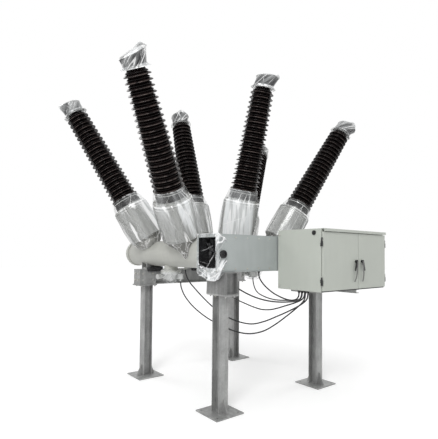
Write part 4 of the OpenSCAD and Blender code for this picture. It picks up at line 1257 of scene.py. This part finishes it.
    def recess_shade(self, low, high):
        """Near-black walls painted inside the open end as the shade of its deep recess: the recess's four walls and
        its back, a hair inside the plain ones.
        """
        wall = node_points("linkage_housing")
        wall = wall[(wall[:, 0] < low[0] + 0.25) & (wall[:, 1] > low[1] + 0.03) & (wall[:, 1] < high[1] - 0.02)]
        wall = wall[(wall[:, 2] > low[2] + 0.02) & (wall[:, 2] < high[2] - 0.02)]
        (x0, y0, z0), (x1, y1, z1) = wall.min(0), wall.max(0)
        skin = 0.0012
        x0, x1, y0, y1, z0, z1 = x0 + 0.001, x1 - skin, y0 + skin, y1 - skin, z0 + skin, z1 - skin
        ring = [(y0, z0), (y1, z0), (y1, z1), (y0, z1)]
        points = [(x, y, z) for x in (x0, x1) for y, z in ring]
        faces = [[k, (k + 1) % 4, 4 + (k + 1) % 4, 4 + k] for k in range(4)] + [[4, 5, 6, 7]]
        faces = [face[::-1] for face in faces]
        # Black here is painted shade in the recess.
        make_piece("housing_recess_shade", points, faces, "black_plastic", smooth=False)


# ---------------------------------------------------------------- fasteners


# The ways from a middle to its four corners.
CORNERS = ((-1, -1), (-1, 1), (1, -1), (1, 1))
# Radii of the bolt circles on the necks' flanges and on the tanks' near joints.
NECK_BOLTS_RADIUS = 0.206
TANK_BOLTS_RADIUS = 0.167
# Thickness of a flange behind its bolts, and of the plate on a leg's head.
FLANGE = 0.024
HEAD_PLATE = 0.016
# How far the rear legs' middles are to the left and right.
REAR_LEG_X = 0.82


def polygon_rings(sides, outline):
    """Rings of (radius, height) about the Z axis, joined into one solid with flat ends."""
    rings = [np.column_stack([circle(radius, sides), np.full(sides, height)]) for radius, height in outline]
    return np.vstack(rings), capped_faces(len(outline), sides)


def bolt_shape(radius):
    """A washer and a hexagon head with a chamfered top, standing on Z = 0."""
    washer = polygon_rings(12, [(radius * 1.45, 0.0), (radius * 1.45, radius * 0.2)])
    head = polygon_rings(6, [(radius, radius * 0.2), (radius, radius * 0.92), (radius * 0.86, radius * 1.05)])
    return join_shapes([washer, head])


def nut_shape(radius):
    """A washer, a hexagon nut and the thread that stands out of it."""
    thread = polygon_rings(
        10, [(radius * 0.56, radius), (radius * 0.56, radius * 1.6), (radius * 0.44, radius * 1.72)]
    )
    return join_shapes([bolt_shape(radius), thread])


def join_shapes(shapes):
    """Puts several (points, faces) into one."""
    points, faces, offset = [], [], 0
    for shape_points, shape_faces in shapes:
        points.append(shape_points)
        faces += [[index + offset for index in face] for face in shape_faces]
        offset += len(shape_points)
    return np.vstack(points), faces


def scatter(shape, places, directions):
    """Copies of a shape, each at a place with its Z along its direction, turned about it by a random angle."""
    points, faces = shape
    places = np.asarray(places, float)
    away = unit(np.broadcast_to(np.asarray(directions, float), places.shape))
    helper = np.where(np.abs(away[:, 2:]) > 0.9, [[1.0, 0.0, 0.0]], [[0.0, 0.0, 1.0]])
    first = unit(np.cross(helper, away))
    second = np.cross(away, first)
    spin = np.random.default_rng(1).uniform(0, math.pi, len(places))[:, None]
    right = first * np.cos(spin) + second * np.sin(spin)
    up = second * np.cos(spin) - first * np.sin(spin)
    copies = (
        places[:, None]
        + points[None, :, :1] * right[:, None]
        + points[None, :, 1:2] * up[:, None]
        + points[None, :, 2:] * away[:, None]
    )
    return join_shapes([(copy, faces) for copy in copies])


def bolt_piece(name, shape, places, directions):
    """One mesh of like bolts."""
    make_piece(name, *scatter(shape, places, directions), "zinc_bolts", smooth=False)


def bolt_circle(centre, axis, radius, count, offset=0.0):
    """Places of bolts evenly round an axis."""
    axis = unit(axis)
    helper = (1.0, 0.0, 0.0) if abs(axis[2]) > 0.9 else (0.0, 0.0, 1.0)
    first = unit(np.cross(helper, axis))
    second = np.cross(axis, first)
    angle = turns(count, offset)
    return np.asarray(centre) + radius * (np.cos(angle)[:, None] * first + np.sin(angle)[:, None] * second)


class BREAKER_OT_bolts(bpy.types.Operator):
    """Puts the bolts and nuts on flanges, plates and covers"""

    bl_idname = "breaker.bolts"
    bl_label = "Bolts"

    def execute(self, context):
        hardware = context.scene.breaker_hardware
        bolt, nut = bolt_shape(hardware.bolt), nut_shape(hardware.bolt)
        small = bolt_shape(hardware.bolt * 0.62)
        self.bushing_bolts(bolt, small)
        self.tank_bolts(small)
        self.stand_bolts(bolt, nut)
        self.housing_bolts(small)
        self.beam_ends(bolt)
        return {"FINISHED"}

    def beam_ends(self, bolt):
        """Black pads that hold the tanks on the beam's front edge, and bolts through the beam's boxed ends."""
        low, high = node_box("rear_beam")
        pads = []
        for side in SIDES:
            centre = node_middle(f"end_cover_{side}")[0]
            pads += [(centre[0] + sx * 0.055, low[1] - 0.018, high[2] + 0.004) for sx in (-1, 1)]
        block_piece("beam_pads", rounded_block(0.055, 0.030, 0.036, 0.010), pads)
        inset = 0.06
        for side, x, way in (("left", low[0], -1), ("right", high[0], 1)):
            ends = [
                (x, y, z) for z in (high[2] - inset, low[2] + inset) for y in (low[1] + 0.045, high[1] - 0.045)
            ]
            bolt_piece(f"bolts.beam_{side}", bolt, ends, (way, 0, 0))
        front = [
            (x + inwards * step, low[1], z)
            for x, inwards in ((low[0], 1), (high[0], -1))
            for step in (0.05, 0.2)
            for z in (low[2] + inset, high[2] - inset)
        ]
        bolt_piece("bolts.beam_front", bolt, front, (0, -1, 0))

    def bushing_bolts(self, bolt, small):
        """Bolts round each transformer housing's top plate and up through its neck's flange."""
        for bushing in BUSHINGS:
            start, _, widest = bushing.drum
            radius = 0.5 * (widest + bushing.porcelain[2]) + 0.006
            top_plate = bushing.ring(bushing.drum_end, radius, turns(20))
            bolt_piece(f"bolts.drum_{bushing.name}", bolt, top_plate, bushing.axis)
            neck = bushing.ring(start, NECK_BOLTS_RADIUS, turns(16))
            bolt_piece(f"bolts.neck_{bushing.name}", small, neck, -bushing.axis)

    def tank_bolts(self, small):
        """Bolts round each tank's end cover and round its joint at the other end."""
        back = (0, 1, 0)
        for side in SIDES:
            low, high = node_box(f"end_cover_{side}")
            axis_x, _, axis_z = (low + high) / 2
            radius = (high[0] - low[0]) / 2 - 0.0065
            cover = bolt_circle((axis_x, low[1] + FLANGE, axis_z), back, radius, 24)
            bolt_piece(f"bolts.cover_{side}", small, cover, back)
            joint_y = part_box(f"tank_{side}")[0][1] + FLANGE
            joint = bolt_circle((axis_x, joint_y, axis_z), back, TANK_BOLTS_RADIUS, 16, 0.5)
            bolt_piece(f"bolts.tank_{side}", small, joint, back)

    def stand_bolts(self, bolt, nut):
        """Nuts under the legs' head plates, and bolts on the feet of the saddles."""
        nuts, bolts = [], []
        for side in ("left", "right"):
            middle, half = node_middle(f"pedestal_{side}")
            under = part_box(f"leg_front_{side}")[1][2] - HEAD_PLATE
            nuts += [
                (middle[0] + sx * (half[0] - 0.026), middle[1] + sy * (half[1] - 0.02), under)
                for sx in (-1, 1)
                for sy in (-0.84, -0.28, 0.28, 0.84)
            ]
            middle = node_middle(f"leg_rear_{side}")[0]
            x, under = np.sign(middle[0]) * REAR_LEG_X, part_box(f"leg_rear_{side}")[1][2] - HEAD_PLATE
            nuts += [(x + sx * 0.100, middle[1] + sy * 0.078, under) for sx, sy in CORNERS]
        bolt_piece("bolts.stand_below", nut, nuts, (0, 0, -1))
        middle = node_middle("tank_saddles")[0]
        foot_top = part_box("tank_saddles")[0][2] + 0.014
        for side in SIDES:
            centre = node_middle(f"end_cover_{side}")[0]
            bolts += [(centre[0] + sx * 0.095, middle[1] + sy * 0.03, foot_top) for sx, sy in CORNERS]
        bolt_piece("bolts.saddles", bolt, bolts, (0, 0, 1))

    def housing_bolts(self, small):
        """Small bolts along the top and bottom edges of the housing's front cover, and round its open end."""
        low, high = node_box("linkage_housing")
        cabinet_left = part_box("cabinet_shell")[0][0]
        places, pitch = [], 0.1715
        for x in np.arange(low[0] + 0.07, high[0] - 0.05, pitch):
            if abs(x - cabinet_left) > 0.03:
                places += [(x, low[1], low[2] + 0.034), (x, low[1], high[2] - 0.038)]
        bolt_piece("bolts.housing_front", small, places, (0, -1, 0))
        wide, tall = high[1] - low[1] - 0.035, high[2] - low[2] - 0.035
        ends = [
            (low[0], low[1] + 0.02 + ky * wide, low[2] + 0.015 + kz * tall)
            for ky, kz in ((0, 0), (0.5, 0), (1, 0), (0, 0.5), (1, 0.5), (0, 1), (0.5, 1), (1, 1))
        ]
        bolt_piece("bolts.housing_end", small, ends, (-1, 0, 0))


# ---------------------------------------------------------------- cabinet


def ribbon(path, width_vector, thickness_vector):
    """A flat strap along a path: a thin rectangle carried along it."""
    path = np.asarray(path, float)
    wide, thick = np.asarray(width_vector, float) / 2, np.asarray(thickness_vector, float) / 2
    corners = np.stack([-wide - thick, wide - thick, wide + thick, -wide + thick])
    points = path[:, None] + corners[None]
    faces = grid_faces(len(path), 4, around=True).tolist()
    last = (len(path) - 1) * 4
    faces += [[0, 1, 2, 3], [last + 3, last + 2, last + 1, last]]
    return points, faces


def rounded_block(half_x, half_y, half_z, edge):
    """A block with rounded upright corners and chamfered ends, about the origin."""
    angle = np.linspace(0.0, math.pi / 2, 4)
    arc = edge * np.stack([np.cos(angle), np.sin(angle)], axis=-1)
    to_corner = np.array((half_x - edge, half_y - edge))
    quarters = ((1, 0, (1, 1)), (0, 1, (-1, 1)), (-1, 0, (-1, -1)), (0, -1, (1, -1)))
    outline = np.vstack([arc @ np.array([[c, -s], [s, c]]).T + np.array(way) * to_corner for c, s, way in quarters])
    chamfer = 0.6 * edge
    inset = outline * (1 - chamfer / half_x, 1 - chamfer / half_y)
    levels = ((-half_z, inset), (chamfer - half_z, outline), (half_z - chamfer, outline), (half_z, inset))
    points = np.vstack([np.column_stack([loop, np.full(len(loop), z)]) for z, loop in levels])
    return points, capped_faces(len(levels), len(outline))


def block_piece(name, block, places):
    """One black mesh of copies of a block, unturned."""
    points, faces = block
    make_piece(name, *join_shapes([(points + place, faces) for place in places]), "black_plastic", smooth=False)


def hinge_axis(side):
    """The place of a door's hinge pin, across and away."""
    joint = next(j for j in frame["record"]["behaviour"]["joints"] if j["name"] == f"{side}_door_hinge")
    return float(joint["pos_m"][0]), float(joint["pos_m"][1])


class BREAKER_OT_cabinet_details(bpy.types.Operator):
    """Adds the cabinet's gasket, hinge sleeves, grey bands below the handles, side bolts and a dark strip of painted
    shadow under the doors
    """

    bl_idname = "breaker.cabinet_details"
    bl_label = "Cabinet Details"

    def execute(self, context):
        hardware = context.scene.breaker_hardware
        self.hub_bands()
        self.side_bolts(hardware)
        self.gasket()
        self.sleeves()
        self.shadow_strip()
        return {"FINISHED"}

    def shadow_strip(self):
        """A dark strip along the bottom of the cabinet's front: painted shadow of the gap under the doors."""
        low, high = node_box("cabinet_shell")
        shadow_strip = rounded_block((high[0] - low[0]) / 2 - 0.006, 0.008, 0.0055, 0.002)
        place = ((low[0] + high[0]) / 2, low[1] - 0.006, low[2] + 0.0065)
        block_piece("cabinet_sill", shadow_strip, [place])

    def sleeves(self):
        """A black sleeve over each door hinge: a tube with rounded ends on the hinge's pin."""
        low, high = node_box("cabinet_hinges")
        profile = np.array([
            (0.0005, 0.0), (0.010, 0.0), (0.0125, 0.003), (0.0125, 0.052), (0.0095, 0.056), (0.0095, 0.088),
            (0.0075, 0.091), (0.0005, 0.091),
        ])
        radius, lift, angle = profile[:, :1], profile[:, 1:], turns(20)
        for side in ("left", "right"):
            x, y = hinge_axis(side)
            for number, bottom in enumerate((low[2] - 0.028, high[2] - 0.063)):
                ring = (x + radius * np.cos(angle), y + radius * np.sin(angle), bottom + lift)
                points = np.stack(np.broadcast_arrays(*ring), axis=-1)
                name = f"hinge_sleeve.{side}_{number}"
                soften(make_piece(name, points, turned_faces(points), "black_fittings", body=f"{side}_door"))

    def hub_bands(self):
        """A thin grey band below each handle's hub, drawn as a slight sideways bow."""
        for side, lean in (("left", -0.040), ("right", 0.016)):
            low, high = node_box(f"{side}_handle")
            hub_x = high[0] - 0.017 if side == "left" else low[0] + 0.017
            top = np.array([hub_x + (0.002 if side == "left" else -0.012), low[1] - 0.003, high[2] - 0.012])
            t = np.linspace(0.0, 1.0, 28)[:, None]
            tucked = np.clip((t - 0.55) / 0.45, 0.0, 1.0) ** 2
            path = top + t * np.array([lean, 0.0, -0.235]) + tucked * np.array([0.0, 0.016, 0.0])
            path = path + np.sin(t * math.pi) * np.array([0.006, 0.0, 0.0])
            points, faces = ribbon(path, (0.021, 0.0, 0.0), (0.0, 0.0016, 0.0))
            make_piece(
                f"hub_band.{side}", points, faces, "webbing", body=f"{side}_door", slot="black_plastic", smooth=False
            )

    def side_bolts(self, hardware):
        """Two bolts near the back of each side, one low and one high."""
        low, high = node_box("cabinet_shell")
        shape = bolt_shape(hardware.bolt * 0.8)
        for side, x, way in (("left", low[0], -1), ("right", high[0], 1)):
            places = [(x, high[1] - 0.02, z) for z in (low[2] + 0.035, high[2] - 0.05)]
            bolt_piece(f"bolts.cabinet_{side}", shape, places, (way, 0, 0))

    def gasket(self):
        """A soft black seal round the door opening, as a thin frame on the shell's front."""
        low, high = node_box("cabinet_shell")
        x0, x1, z0, z1 = low[0] + 0.012, high[0] - 0.012, low[2] + 0.018, high[2] - 0.036
        y, wide, thick = low[1], 0.010, 0.004
        outer = [(x0, z0), (x1, z0), (x1, z1), (x0, z1)]
        inner = [(x0 + wide, z0 + wide), (x1 - wide, z0 + wide), (x1 - wide, z1 - wide), (x0 + wide, z1 - wide)]
        points = [(x, y - d, z) for d in (0.0, thick) for loop in (outer, inner) for x, z in loop]
        faces = []
        for k in range(4):
            n = (k + 1) % 4
            faces += [
                [8 + k, 8 + n, 12 + n, 12 + k], [k, 4 + k, 4 + n, n],
                [k, n, 8 + n, 8 + k], [4 + k, 12 + k, 12 + n, 4 + n],
            ]
        make_piece("gasket", points, faces, "black_plastic", smooth=False)


# ---------------------------------------------------------------- panel and run


OPERATORS = (
    BREAKER_OT_stage,
    BREAKER_OT_finishes,
    BREAKER_OT_cables,
    BREAKER_OT_porcelains,
    BREAKER_OT_terminal_wraps,
    BREAKER_OT_drum_wraps,
    BREAKER_OT_port_wraps,
    BREAKER_OT_housing_wrap,
    BREAKER_OT_bolts,
    BREAKER_OT_cabinet_details,
)


class BREAKER_PT_panel(bpy.types.Panel):
    """Lists the breaker's settings and operators"""

    bl_label = "Gas Insulated Breaker"
    bl_idname = "BREAKER_PT_panel"
    bl_space_type = "VIEW_3D"
    bl_region_type = "UI"
    bl_category = "Breaker"

    def draw(self, context):
        for group, cls in GROUPS.items():
            box = self.layout.box()
            for name in cls.__annotations__:
                box.prop(getattr(context.scene, group), name)
        for operator in OPERATORS:
            self.layout.operator(operator.bl_idname)


GROUPS = {
    "breaker_view": ViewSettings,
    "breaker_finish": FinishSettings,
    "breaker_wrap": WrapSettings,
    "breaker_hardware": HardwareSettings,
}


def register():
    for cls in (*GROUPS.values(), *OPERATORS, BREAKER_PT_panel):
        bpy.utils.register_class(cls)
    for name, cls in GROUPS.items():
        setattr(bpy.types.Scene, name, bpy.props.PointerProperty(type=cls))


def unregister():
    for name in GROUPS:
        delattr(bpy.types.Scene, name)
    for cls in (BREAKER_PT_panel, *reversed(OPERATORS), *reversed(GROUPS.values())):
        bpy.utils.unregister_class(cls)


def main():
    register()
    for operator in OPERATORS:
        group, name = operator.bl_idname.split(".")
        getattr(getattr(bpy.ops, group), name)()


if __name__ == "__main__":
    main()
